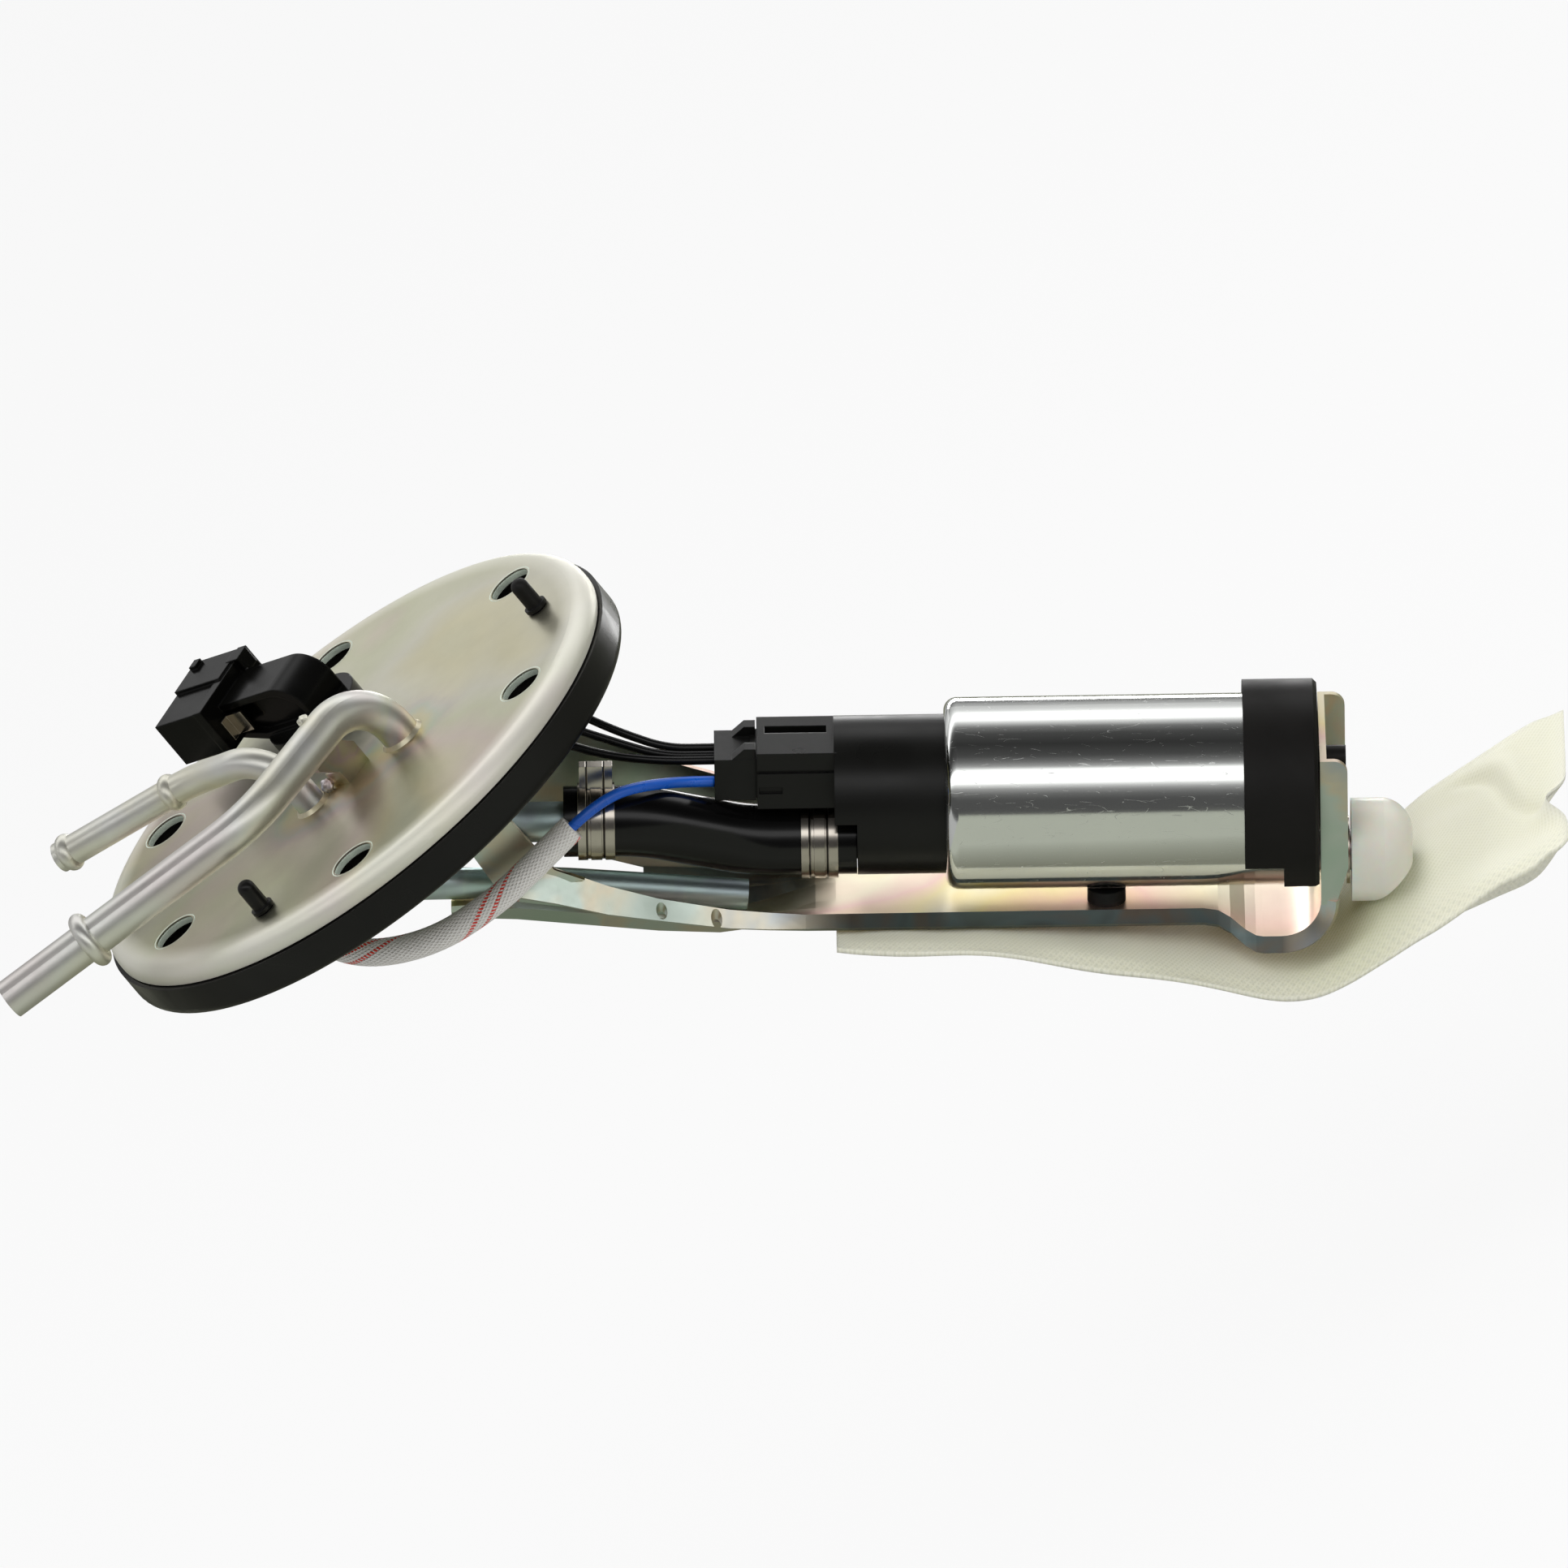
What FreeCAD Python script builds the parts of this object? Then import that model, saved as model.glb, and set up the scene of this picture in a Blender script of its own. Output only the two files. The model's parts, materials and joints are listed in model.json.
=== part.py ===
import FreeCAD, Part
import math
import os
from types import SimpleNamespace

import Sketcher

# In-tank fuel pump hung from a round tank flange, in millimetres.
# The origin is the centre of the flange plate's top face and +Z is its outward normal.
# The pump hangs below it on a bracket, its axis tilted down towards +X. Pieces of the
# pump are drawn in the pump's own frame: X along its axis, Z away from the bracket's web.

DRIVING_SIZES = {
    # Flange plate: a stamped disc with a rolled-down rim
    "plate_radius": 60.0,
    "plate_sheet": 1.6,
    "rim_bend": 3.2,
    "rim_depth": 4.4,
    "bolt_inset": 10.5,
    "bolt_hole": 4.5,
    "bolt_count": 6,
    "bolt_start": -27.0,
    "nub_inset": 11.0,
    "nub_radius": 1.8,
    "nub_height": 7.6,
    "nub_angle_near": -113.0,
    "nub_angle_far": 8.0,
    "nub_fit": 0.3,
    # Gasket ring under the plate
    "gasket_lip": 0.9,
    "gasket_width": 18.9,
    "gasket_bottom": 12.4,
    "gasket_round": 2.2,
    "gasket_fit": 0.3,
    "gasket_hole_fit": 0.6,
    # Pump axis against the plate
    "pump_tilt": 36.34,
    "axis_offset": 9.9,
    # Feed tube
    "feed_radius": 4.0,
    "feed_bore": 3.0,
    "feed_hole_x": 14.9,
    "feed_hole_y": -9.1,
    "feed_height": 14.0,
    "feed_elbow_x": -11.9,
    "feed_elbow_y": -36.7,
    "feed_end_x": -71.8,
    "feed_end_y": -42.9,
    "feed_top_bend": 12.0,
    "feed_side_bend": 22.0,
    "feed_low_bend": 20.0,
    "feed_axis_height": -0.5,
    "feed_low_end": 53.4,
    "feed_bead": 6.0,
    "feed_bead_from_end": 20.2,
    # Return tube
    "return_radius": 3.1,
    "return_bore": 2.2,
    "return_hole_x": -7.3,
    "return_hole_y": -12.5,
    "return_height": 14.5,
    "return_elbow_x": -26.6,
    "return_elbow_y": -1.3,
    "return_end_x": -59.2,
    "return_end_y": 5.2,
    "return_top_bend": 10.0,
    "return_side_bend": 20.0,
    "return_low_bend": 12.0,
    "return_drop": 22.0,
    "return_bend_y": 0.0,
    "return_bend_place": 40.0,
    "return_bend_height": -18.0,
    "return_open_end": 79.5,
    "return_open_y": 2.0,
    "return_open_height": -22.4,
    "return_bead": 3.9,
    "return_mid_bead_from_end": 28.5,
    "return_end_bead_from_end": 2.4,
    "bead_wire": 1.6,
    "braze_width": 0.8,
    # Stay beside the tubes
    "stay_sheet": 1.6,
    "stay_x": 6.6,
    "stay_y": -9.0,
    "stay_angle": -131.5,
    "stay_length": 7.0,
    "stay_low": 5.0,
    "stay_high": 10.2,
    "stay_reach": 10.7,
    "stay_foot": 5.0,
    "stay_foot_height": 3.2,
    # Elbow connector on the plate
    "connector_x": -4.8,
    "connector_y": 22.0,
    "connector_turn": 145.7,
    "connector_disc": 10.3,
    "connector_disc_height": 3.9,
    "connector_neck": 6.4,
    "connector_neck_fit": 0.2,
    "connector_drop": 5.0,
    "elbow_width": 11.0,
    "elbow_back": 6.0,
    "elbow_top": 14.0,
    "elbow_round": 6.5,
    "elbow_rim": 1.5,
    "elbow_web_depth": 1.8,
    "block_start": 16.0,
    "block_depth": 13.3,
    "block_width": 19.2,
    "block_bottom": 6.0,
    "block_height": 10.2,
    "block_wall": 1.3,
    "cavity_depth": 11.6,
    "pin_width": 1.6,
    "pin_sheet": 0.8,
    "pin_length": 5.6,
    "pin_pitch": 3.8,
    "clip_sheet": 0.7,
    "clip_width": 4.2,
    "clip_rise": 4.8,
    # Bracket
    "bracket_sheet": 1.3,
    "web_height": -21.0,
    "web_half_width": 10.5,
    "lip_depth": 2.1,
    "lip_reach": 2.2,
    "cup_lip_depth": 2.9,
    "cup_lip_reach": 1.6,
    "cup_height": -25.0,
    "cup_half_width": 15.5,
    "trough_end": 97.0,
    "ramp_start": 169.6,
    "ramp_end": 181.3,
    "cup_bend": 8.0,
    "wall_top": 13.3,
    "wall_face": 192.8,
    "flange_depth": 5.4,
    "flange_round": 2.8,
    "leg_foot": 7.0,
    # Pump can
    "case_radius": 19.0,
    "case_wall": 1.2,
    "case_start": 118.8,
    "case_end": 190.6,
    "case_round": 2.6,
    "case_mouth_depth": 3.05,
    "inlet_mouth_depth": 2.4,
    # Outlet cap with the electric socket and the outlet nipple
    "cap_mouth_fit": 0.2,
    "cap_face": 97.0,
    "cap_low_face": 101.4,
    "cap_fit": 0.1,
    "spigot_end": 128.0,
    "spigot_wall": 3.2,
    "cap_floor": 122.0,
    "socket_face": 81.8,
    "socket_half_width": 8.6,
    "socket_bottom": 1.3,
    "socket_top": 13.3,
    "socket_wall": 1.5,
    "socket_depth": 12.2,
    "nipple_y": -4.5,
    "nipple_z": -7.4,
    "nipple_radius": 4.0,
    "nipple_bore": 2.4,
    "nipple_end": 86.2,
    "valve_bore": 3.2,
    "valve_start": 102.0,
    "valve_end": 114.0,
    # Hose and clamps
    "hose_radius": 7.0,
    "hose_bore_fit": 0.05,
    "hose_start": 43.5,
    "hose_end": 101.3,
    "hose_bend_start": 59.2,
    "hose_bend_end": 80.2,
    "hose_bend": 30.0,
    "clamp_band": 0.65,
    "clamp_width": 7.3,
    "clamp_groove": 0.25,
    "clamp_upper_start": 46.3,
    "clamp_lower_start": 90.3,
    "clamp_tab_height": 5.2,
    "clamp_tab_width": 6.6,
    # Harness plug
    "plug_start": 73.4,
    "plug_half_width": 6.9,
    "plug_bottom": 2.5,
    "plug_top": 11.3,
    "plug_fit": 0.25,
    "plug_depth": 8.0,
    "ear_height": 2.2,
    "ear_width": 3.2,
    "ear_start": 76.6,
    "ear_spacing": 5.2,
    "blade_width": 2.6,
    "blade_sheet": 0.8,
    "blade_offset": 3.4,
    "blade_length": 8.0,
    "blade_fit": 0.3,
    # Motor
    "shaft_radius": 1.6,
    "shaft_start": 115.8,
    "shaft_end": 182.6,
    "shaft_fit": 0.03,
    "bearing_radius": 3.4,
    "bearing_length": 6.0,
    "bearing_outlet_start": 115.6,
    "commutator_depth_in": 4.0,
    "commutator_face": 123.0,
    "commutator_depth": 4.0,
    "core_gap": 1.0,
    "core_start": 134.0,
    "core_length": 26.0,
    "core_slots": 8,
    "slot_width": 2.2,
    "slot_depth": 5.5,
    "winding_inset": 1.6,
    "winding_depth": 4.5,
    "magnet_start": 131.0,
    "magnet_length": 32.0,
    "magnet_thickness": 3.7,
    "magnet_fit": 0.1,
    "magnet_angle": 120.0,
    "clip_strip": 0.6,
    "clip_angle": 50.0,
    "brush_width": 4.0,
    "brush_height": 5.0,
    "brush_length": 7.0,
    "brush_offset": 6.4,
    "brush_gap": 0.05,
    "brush_fit": 0.15,
    "brush_travel": 3.0,
    "brush_spring_length": 6.0,
    # Turbine
    "impeller_inset": 2.6,
    "impeller_start": 178.2,
    "impeller_width": 2.8,
    "impeller_gap": 0.25,
    "vane_count": 24,
    "vane_depth": 2.4,
    "vane_gap": 1.9,
    "vane_land": 0.9,
    "chamber_start": 169.5,
    "chamber_fit": 0.2,
    "channel_depth": 1.4,
    "channel_width": 3.0,
    "inlet_y": -6.0,
    "inlet_z": -10.8,
    "inlet_radius": 4.0,
    "inlet_bore": 2.8,
    "inlet_end": 205.0,
    # Valves
    "check_head": 2.9,
    "check_stem": 1.0,
    "check_head_depth": 1.6,
    "check_start": 108.6,
    "check_length": 5.2,
    "check_travel": 2.0,
    "relief_y": 7.2,
    "relief_z": -7.6,
    "relief_bore": 2.3,
    "relief_ball": 1.8,
    "relief_start": 103.5,
    "relief_seat_depth": 2.2,
    "relief_seat_bore": 1.2,
    "relief_ball_back": 1.36,
    "relief_travel": 1.2,
    "spring_wire": 0.45,
    "spring_turns": 4.0,
    # Isolator cup, bumper, washer
    "isolator_start": 177.8,
    "isolator_end": 192.5,
    "isolator_fit": 0.25,
    "isolator_bevel": 0.8,
    "isolator_wall": 2.4,
    "isolator_notch_end": 185.5,
    "isolator_side_cut": 8.0,
    "isolator_end_cut": 13.5,
    "peg_radius": 2.5,
    "peg_y": -8.0,
    "peg_z": 10.3,
    "peg_end": 198.0,
    "peg_fit": 0.25,
    "bumper_radius": 3.8,
    "bumper_place": 150.5,
    "bumper_y": -5.6,
    "bumper_stem": 1.9,
    "bumper_cap": 3.0,
    "bumper_cap_depth": 1.4,
    "bumper_fit": 0.3,
    "washer_radius": 6.7,
    "washer_sheet": 0.7,
    "washer_start": 197.9,
    # Strainer
    "neck_radius": 10.2,
    "neck_start": 198.9,
    "neck_end": 211.0,
    "neck_slant": 47.0,
    "neck_fit": 0.15,
    "sock_edge": 0.9,
    # Leads
    "lead_radius": 0.85,
    "blue_radius": 1.1,
    "sleeve_radius": 3.3,
    "sleeve_bore_fit": 0.5,
}


class Size:
    """A number together with the expression that gives it from the sheet."""

    def __init__(self, text, number):
        self.text = text
        self.number = float(number)

    def __float__(self):
        return self.number

    def __neg__(self):
        return Size(f"(-1 * {self.text})", -self.number)

    def __add__(self, other):
        return Size(f"({self.text} + {text_of(other)})", self.number + float(other))

    def __radd__(self, other):
        return Size(f"({text_of(other)} + {self.text})", float(other) + self.number)

    def __sub__(self, other):
        return Size(f"({self.text} - {text_of(other)})", self.number - float(other))

    def __rsub__(self, other):
        return Size(f"({text_of(other)} - {self.text})", float(other) - self.number)

    def __mul__(self, other):
        return Size(f"({self.text} * {text_of(other)})", self.number * float(other))

    def __rmul__(self, other):
        return self * other

    def __truediv__(self, other):
        return Size(f"({self.text} / {text_of(other)})", self.number / float(other))


def text_of(size):
    if isinstance(size, Size):
        return size.text
    return repr(float(size))


doc = FreeCAD.newDocument("fuel_pump")


def make_sheet():
    sheet = doc.addObject("Spreadsheet::Sheet", "Sizes")
    for row, (word, number) in enumerate(DRIVING_SIZES.items(), start=1):
        sheet.set(f"A{row}", word)
        sheet.set(f"B{row}", str(number))
        sheet.setAlias(f"B{row}", word)
    doc.recompute()
    return SimpleNamespace(
        **{word: Size(f"Sizes.{word}", getattr(sheet, word)) for word in DRIVING_SIZES}
    )


size = make_sheet()
# Places that follow the plate's radius or the can's radius
size.bolt_circle = size.plate_radius - size.bolt_inset
size.nub_circle = size.plate_radius - size.nub_inset
size.gasket_outer = size.plate_radius + size.gasket_lip
size.gasket_inner = size.gasket_outer - size.gasket_width
size.case_mouth = size.case_radius - size.case_mouth_depth
size.case_inlet_mouth = size.case_radius - size.inlet_mouth_depth
size.cap_radius = size.case_mouth - size.cap_mouth_fit
size.magnet_outer = size.case_radius - size.case_wall - size.magnet_fit
size.magnet_inner = size.magnet_outer - size.magnet_thickness
size.core_radius = size.magnet_inner - size.core_gap
size.winding_radius = size.core_radius - size.winding_inset
size.commutator_radius = size.core_radius - size.commutator_depth_in
size.chamber_radius = size.case_radius - size.case_wall - size.chamber_fit
size.impeller_radius = size.chamber_radius - size.impeller_inset
parts = []

X_AXIS = FreeCAD.Vector(1, 0, 0)
Y_AXIS = FreeCAD.Vector(0, 1, 0)
Z_AXIS = FreeCAD.Vector(0, 0, 1)
ORIGIN = FreeCAD.Vector(0, 0, 0)
ROW_FRAME = FreeCAD.Placement()


def point(x, y, z):
    return FreeCAD.Vector(float(x), float(y), float(z))


def make_pump_frame():
    turn = FreeCAD.Rotation(Y_AXIS, float(size.pump_tilt))
    return FreeCAD.Placement(turn.multVec(point(0, 0, -size.axis_offset)), turn)


def make_connector_frame():
    turn = FreeCAD.Rotation(Z_AXIS, float(size.connector_turn))
    return FreeCAD.Placement(point(size.connector_x, size.connector_y, 0), turn)


PUMP_FRAME = make_pump_frame()
CONNECTOR_FRAME = make_connector_frame()


def bind(thing, name, amount):
    if isinstance(amount, Size):
        thing.setExpression(name, amount.text)
    else:
        setattr(thing, name, amount)


def put(thing, x, y, z, rotation=None):
    thing.Placement = FreeCAD.Placement(point(x, y, z), rotation or FreeCAD.Rotation())
    for axis, amount in zip("xyz", (x, y, z)):
        if isinstance(amount, Size):
            thing.setExpression(f"Placement.Base.{axis}", amount.text)
    return thing


TURN_TO_X = FreeCAD.Rotation(Y_AXIS, 90)


def disc(name, radius, start, length, y=0.0, z=0.0):
    """A cylinder along X, from start, in the pump's frame."""
    solid = doc.addObject("Part::Cylinder", name)
    bind(solid, "Radius", radius)
    bind(solid, "Height", length)
    return put(solid, start, y, z, TURN_TO_X)


def post(name, radius, x, y, bottom, height):
    """A cylinder along Z, from bottom."""
    solid = doc.addObject("Part::Cylinder", name)
    bind(solid, "Radius", radius)
    bind(solid, "Height", height)
    return put(solid, x, y, bottom)


def block(name, x, y, z, length, width, height):
    solid = doc.addObject("Part::Box", name)
    bind(solid, "Length", length)
    bind(solid, "Width", width)
    bind(solid, "Height", height)
    return put(solid, x, y, z)


def fused(name, pieces):
    solid = doc.addObject("Part::MultiFuse", name)
    solid.Shapes = pieces
    return solid


def less(name, base, tools):
    solid = doc.addObject("Part::Cut", name)
    solid.Base = base
    solid.Tool = tools[0] if len(tools) == 1 else fused(f"{name}_tools", tools)
    return solid


def keep(solid, label, frame=ROW_FRAME):
    solid.Label = label
    solid.Placement = frame
    parts.append(solid)
    return solid


def shaped(label, shape, frame=PUMP_FRAME):
    """A sub-part whose shape is worked out below from the sheet's sizes."""
    solid = doc.addObject("Part::Feature", label)
    solid.Shape = shape
    return keep(solid, label, frame)


def plane_of(body, role):
    return next(item for item in body.Origin.OriginFeatures if item.Role == role)


def outline_sketch(body, name, role, corners):
    """A closed outline whose corners are each held by two bound dimensions."""
    sketch = body.newObject("Sketcher::SketchObject", name)
    sketch.AttachmentSupport = [(plane_of(body, role), "")]
    sketch.MapMode = "FlatFace"
    places = [point(x, y, 0) for x, y in corners]
    count = len(places)
    for index in range(count):
        sketch.addGeometry(Part.LineSegment(places[index], places[(index + 1) % count]))
    for index in range(count):
        joint = Sketcher.Constraint("Coincident", index, 2, (index + 1) % count, 1)
        sketch.addConstraint(joint)
    for index, (across, up) in enumerate(corners):
        for kind, amount in (("DistanceX", across), ("DistanceY", up)):
            held = Sketcher.Constraint(kind, -1, 1, index, 1, float(amount))
            number = sketch.addConstraint(held)
            if isinstance(amount, Size):
                sketch.setExpression(f"Constraints[{number}]", amount.text)
    return sketch


def turned(label, corners, frame=PUMP_FRAME):
    """A body turned round the pump's axis from corners given as place and radius."""
    body = doc.addObject("PartDesign::Body", label)
    sketch = outline_sketch(body, f"{label}_outline", "XY_Plane", corners)
    turn = body.newObject("PartDesign::Revolution", f"{label}_turn")
    turn.Profile = sketch
    turn.ReferenceAxis = (sketch, ["H_Axis"])
    turn.Angle = 360
    body.Tip = turn
    body.Placement = frame
    return body


def rounded_path(points, radii):
    """One wire of straight runs joined by tangent arcs of the given radii."""
    edges = []
    start = points[0]
    for index, radius in enumerate(radii, start=1):
        corner = points[index]
        back = (points[index - 1] - corner).normalize()
        ahead = (points[index + 1] - corner).normalize()
        turn = math.pi - back.getAngle(ahead)
        reach = radius * math.tan(turn / 2)
        enter = corner + back * reach
        leave = corner + ahead * reach
        bisector = (back + ahead).normalize()
        middle = corner + bisector * (radius / math.cos(turn / 2) - radius)
        if enter.distanceToPoint(start) > 1e-6:
            edges.append(Part.LineSegment(start, enter).toShape())
        edges.append(Part.Arc(enter, middle, leave).toShape())
        start = leave
    edges.append(Part.LineSegment(start, points[-1]).toShape())
    return Part.Wire(edges)


def swept(path, radius):
    """A solid rod of the given radius along a path."""
    first = path.OrderedEdges[0]
    start = first.valueAt(first.FirstParameter)
    heading = first.tangentAt(first.FirstParameter)
    section = Part.Wire([Part.makeCircle(float(radius), start, heading)])
    return Part.Wire(path.Edges).makePipeShell([section], True, False)


def pipe(path, outer, inner):
    return swept(path, outer).cut(swept(path, inner))


def bead_on(path, radius, wire, from_end):
    """The rolled ring on a tube, a given length back from the path's end."""
    last = path.OrderedEdges[-1]
    end = last.valueAt(last.LastParameter)
    heading = last.tangentAt(last.LastParameter)
    centre = end - heading * float(from_end)
    return Part.makeTorus(float(radius) - float(wire), float(wire), centre, heading)


def to_row(x, y, z):
    return PUMP_FRAME.multVec(point(x, y, z))


# Flange plate: turned sheet with a rolled rim, drilled for bolts, nubs, tubes and connector

def flange_plate():
    profile = [
        point(0, 0, 0),
        point(size.plate_radius - size.rim_bend, 0, 0),
        point(size.plate_radius, 0, -size.rim_bend),
        point(size.plate_radius, 0, -size.rim_depth),
        point(size.plate_radius - size.plate_sheet, 0, -size.rim_depth),
        point(size.plate_radius - size.plate_sheet, 0, -size.rim_bend),
        point(size.plate_radius - size.rim_bend, 0, -size.plate_sheet),
        point(0, 0, -size.plate_sheet),
    ]
    centre = point(size.plate_radius - size.rim_bend, 0, -size.rim_bend)
    slant = point(math.sqrt(0.5), 0, math.sqrt(0.5))
    outer = Part.Arc(profile[1], centre + slant * float(size.rim_bend), profile[2])
    bend = float(size.rim_bend - size.plate_sheet)
    inner = Part.Arc(profile[5], centre + slant * bend, profile[6])
    edges = [
        Part.LineSegment(profile[0], profile[1]),
        outer,
        Part.LineSegment(profile[2], profile[3]),
        Part.LineSegment(profile[3], profile[4]),
        Part.LineSegment(profile[4], profile[5]),
        inner,
        Part.LineSegment(profile[6], profile[7]),
        Part.LineSegment(profile[7], profile[0]),
    ]
    face = Part.Face(Part.Wire([edge.toShape() for edge in edges]))
    disc_shape = face.revolve(ORIGIN, Z_AXIS, 360)
    sheet = doc.addObject("Part::Feature", "plate_sheet_metal")
    sheet.Shape = disc_shape
    drop = -2 * size.plate_sheet
    through = 4 * size.plate_sheet
    holes = [
        post("feed_hole", size.feed_radius + size.nub_fit / 2,
             size.feed_hole_x, size.feed_hole_y, drop, through),
        post("return_hole", size.return_radius + size.nub_fit / 2,
             size.return_hole_x, size.return_hole_y, drop, through),
        post("connector_hole", size.connector_neck + size.connector_neck_fit,
             size.connector_x, size.connector_y, drop, through),
    ]
    for index in range(int(float(size.bolt_count))):
        angle = math.radians(float(size.bolt_start) + 360 * index / float(size.bolt_count))
        holes.append(post(f"bolt_hole_{index}", size.bolt_hole,
                          size.bolt_circle * math.cos(angle),
                          size.bolt_circle * math.sin(angle), drop, through))
    for name, angle in nub_angles():
        holes.append(post(f"nub_hole_{name}", size.nub_radius + size.nub_fit,
                          size.nub_circle * math.cos(angle),
                          size.nub_circle * math.sin(angle), drop, through))
    keep(less("flange_plate", sheet, holes), "flange_plate")


def nub_angles():
    return (("near", math.radians(float(size.nub_angle_near))),
            ("far", math.radians(float(size.nub_angle_far))))


def flange_gasket():
    """A thick ring under the plate, stepped to seat inside the rolled rim."""
    fit = size.gasket_fit
    step = size.plate_radius - size.plate_sheet - fit
    top = size.plate_sheet + fit
    low = size.rim_depth + fit
    deep = size.gasket_bottom
    outer, inner = float(size.gasket_outer), float(size.gasket_inner)
    inset = float(size.plate_radius - size.rim_bend - fit)
    round_off = float(size.gasket_round)
    slope = round_off * (1 - math.sqrt(0.5))
    bottom = -float(deep)
    places = [
        (inner, bottom), (inner, -float(top)), (inset, -float(top)),
        (inset, -float(size.rim_bend + fit)), (float(step), -float(size.rim_bend + fit)),
        (float(step), -float(low)), (outer, -float(low)), (outer, bottom + round_off),
    ]
    corners = [point(x, 0, z) for x, z in places]
    edges = [Part.LineSegment(corners[i], corners[i + 1]) for i in range(len(corners) - 1)]
    edges.append(Part.Arc(corners[-1], point(outer - slope, 0, bottom + slope),
                          point(outer - round_off, 0, bottom)))
    edges.append(Part.LineSegment(point(outer - round_off, 0, bottom), corners[0]))
    face = Part.Face(Part.Wire([edge.toShape() for edge in edges]))
    ring = doc.addObject("Part::Feature", "gasket_ring")
    ring.Shape = face.revolve(ORIGIN, Z_AXIS, 360)
    holes = []
    for index in range(int(float(size.bolt_count))):
        angle = math.radians(float(size.bolt_start) + 360 * index / float(size.bolt_count))
        holes.append(post(f"gasket_hole_{index}", size.bolt_hole + size.gasket_hole_fit,
                          size.bolt_circle * math.cos(angle),
                          size.bolt_circle * math.sin(angle), -deep - 1, deep + 1))
    drilled = less("gasket_drilled", ring, holes)
    pieces = [drilled]
    for name, angle in nub_angles():
        x = size.nub_circle * math.cos(angle)
        y = size.nub_circle * math.sin(angle)
        pieces.append(post(f"nub_stem_{name}", size.nub_radius, x, y, -deep / 2,
                           deep / 2 + size.nub_height - size.nub_radius))
        pieces.append(post(f"nub_collar_{name}", size.nub_radius + 2 * size.nub_fit,
                           x, y, fit, 0.8))
        tip = doc.addObject("Part::Sphere", f"nub_tip_{name}")
        bind(tip, "Radius", size.nub_radius)
        put(tip, x, y, size.nub_height - size.nub_radius)
        pieces.append(tip)
    keep(fused("flange_gasket", pieces), "flange_gasket")


# Tubes: bent steel pipes through the plate, with rolled beads

def feed_tube_path():
    corner_place = ((size.feed_hole_x - to_row(0, 0, size.feed_axis_height).x)
                    / math.cos(math.radians(float(size.pump_tilt))))
    low_corner = to_row(corner_place, size.feed_hole_y, size.feed_axis_height)
    points = [
        to_row(size.feed_low_end, size.feed_hole_y, size.feed_axis_height),
        low_corner,
        point(size.feed_hole_x, size.feed_hole_y, size.feed_height),
        point(size.feed_elbow_x, size.feed_elbow_y, size.feed_height),
        point(size.feed_end_x, size.feed_end_y, size.feed_height),
    ]
    radii = [float(size.feed_low_bend), float(size.feed_top_bend), float(size.feed_side_bend)]
    return rounded_path(points, radii)


def feed_tube():
    path = feed_tube_path()
    bead = bead_on(path, size.feed_bead, size.bead_wire, size.feed_bead_from_end)
    shape = swept(path, size.feed_radius).fuse(bead).cut(swept(path, size.feed_bore))
    shaped("feed_tube", shape, ROW_FRAME)


def return_tube_path():
    top = point(size.return_hole_x, size.return_hole_y, size.return_height)
    low_corner = point(size.return_hole_x, size.return_hole_y, -size.return_drop)
    points = [
        to_row(size.return_open_end, size.return_open_y, size.return_open_height),
        to_row(size.return_bend_place, size.return_bend_y, size.return_bend_height),
        low_corner,
        top,
        point(size.return_elbow_x, size.return_elbow_y, size.return_height),
        point(size.return_end_x, size.return_end_y, size.return_height),
    ]
    radii = [40.0, float(size.return_low_bend), float(size.return_top_bend),
             float(size.return_side_bend)]
    return rounded_path(points, radii)


def return_tube():
    path = return_tube_path()
    tube = swept(path, size.return_radius)
    for place in (size.return_mid_bead_from_end, size.return_end_bead_from_end):
        tube = tube.fuse(bead_on(path, size.return_bead, size.bead_wire, place))
    shaped("return_tube", tube.cut(swept(path, size.return_bore)), ROW_FRAME)


def braze(label, x, y, radius):
    """A brazed collar where a tube passes through the plate."""
    collar = doc.addObject("Part::Cone", f"{label}_cone")
    bind(collar, "Radius1", radius + size.braze_width)
    bind(collar, "Radius2", radius + size.braze_width / 4)
    bind(collar, "Height", size.braze_width)
    put(collar, x, y, 0)
    bore = post(f"{label}_bore", radius, x, y, -1, 4)
    keep(less(label, collar, [bore]), label)


def tube_stay():
    """An upright tab with clipped corners and a bent foot, welded beside the tubes."""
    body = doc.addObject("PartDesign::Body", "tube_stay")
    corners = [
        (0.0, 0.0),
        (size.stay_length, 0.0),
        (size.stay_length, size.stay_foot_height),
        (size.stay_reach, size.stay_low + 1.6),
        (size.stay_reach, size.stay_high),
        (size.stay_low, size.stay_high),
        (0.0, size.stay_low),
    ]
    tab = body.newObject("PartDesign::Pad", "stay_tab")
    tab.Profile = outline_sketch(body, "stay_outline", "XZ_Plane", corners)
    tab.setExpression("Length", size.stay_sheet.text)
    foot_corners = [
        (size.stay_length - size.stay_sheet, -size.stay_foot),
        (size.stay_length, -size.stay_foot),
        (size.stay_length, 0.0),
        (size.stay_length - size.stay_sheet, 0.0),
    ]
    foot = body.newObject("PartDesign::Pad", "stay_foot")
    foot.Profile = outline_sketch(body, "stay_foot_outline", "XY_Plane", foot_corners)
    foot.setExpression("Length", size.stay_foot_height.text)
    body.Tip = foot
    turn = FreeCAD.Rotation(Z_AXIS, float(size.stay_angle))
    keep(body, "tube_stay", FreeCAD.Placement(point(size.stay_x, size.stay_y, 0), turn))


# Elbow connector: base disc, ribbed elbow and the rectangular shroud, in its own frame

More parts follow.
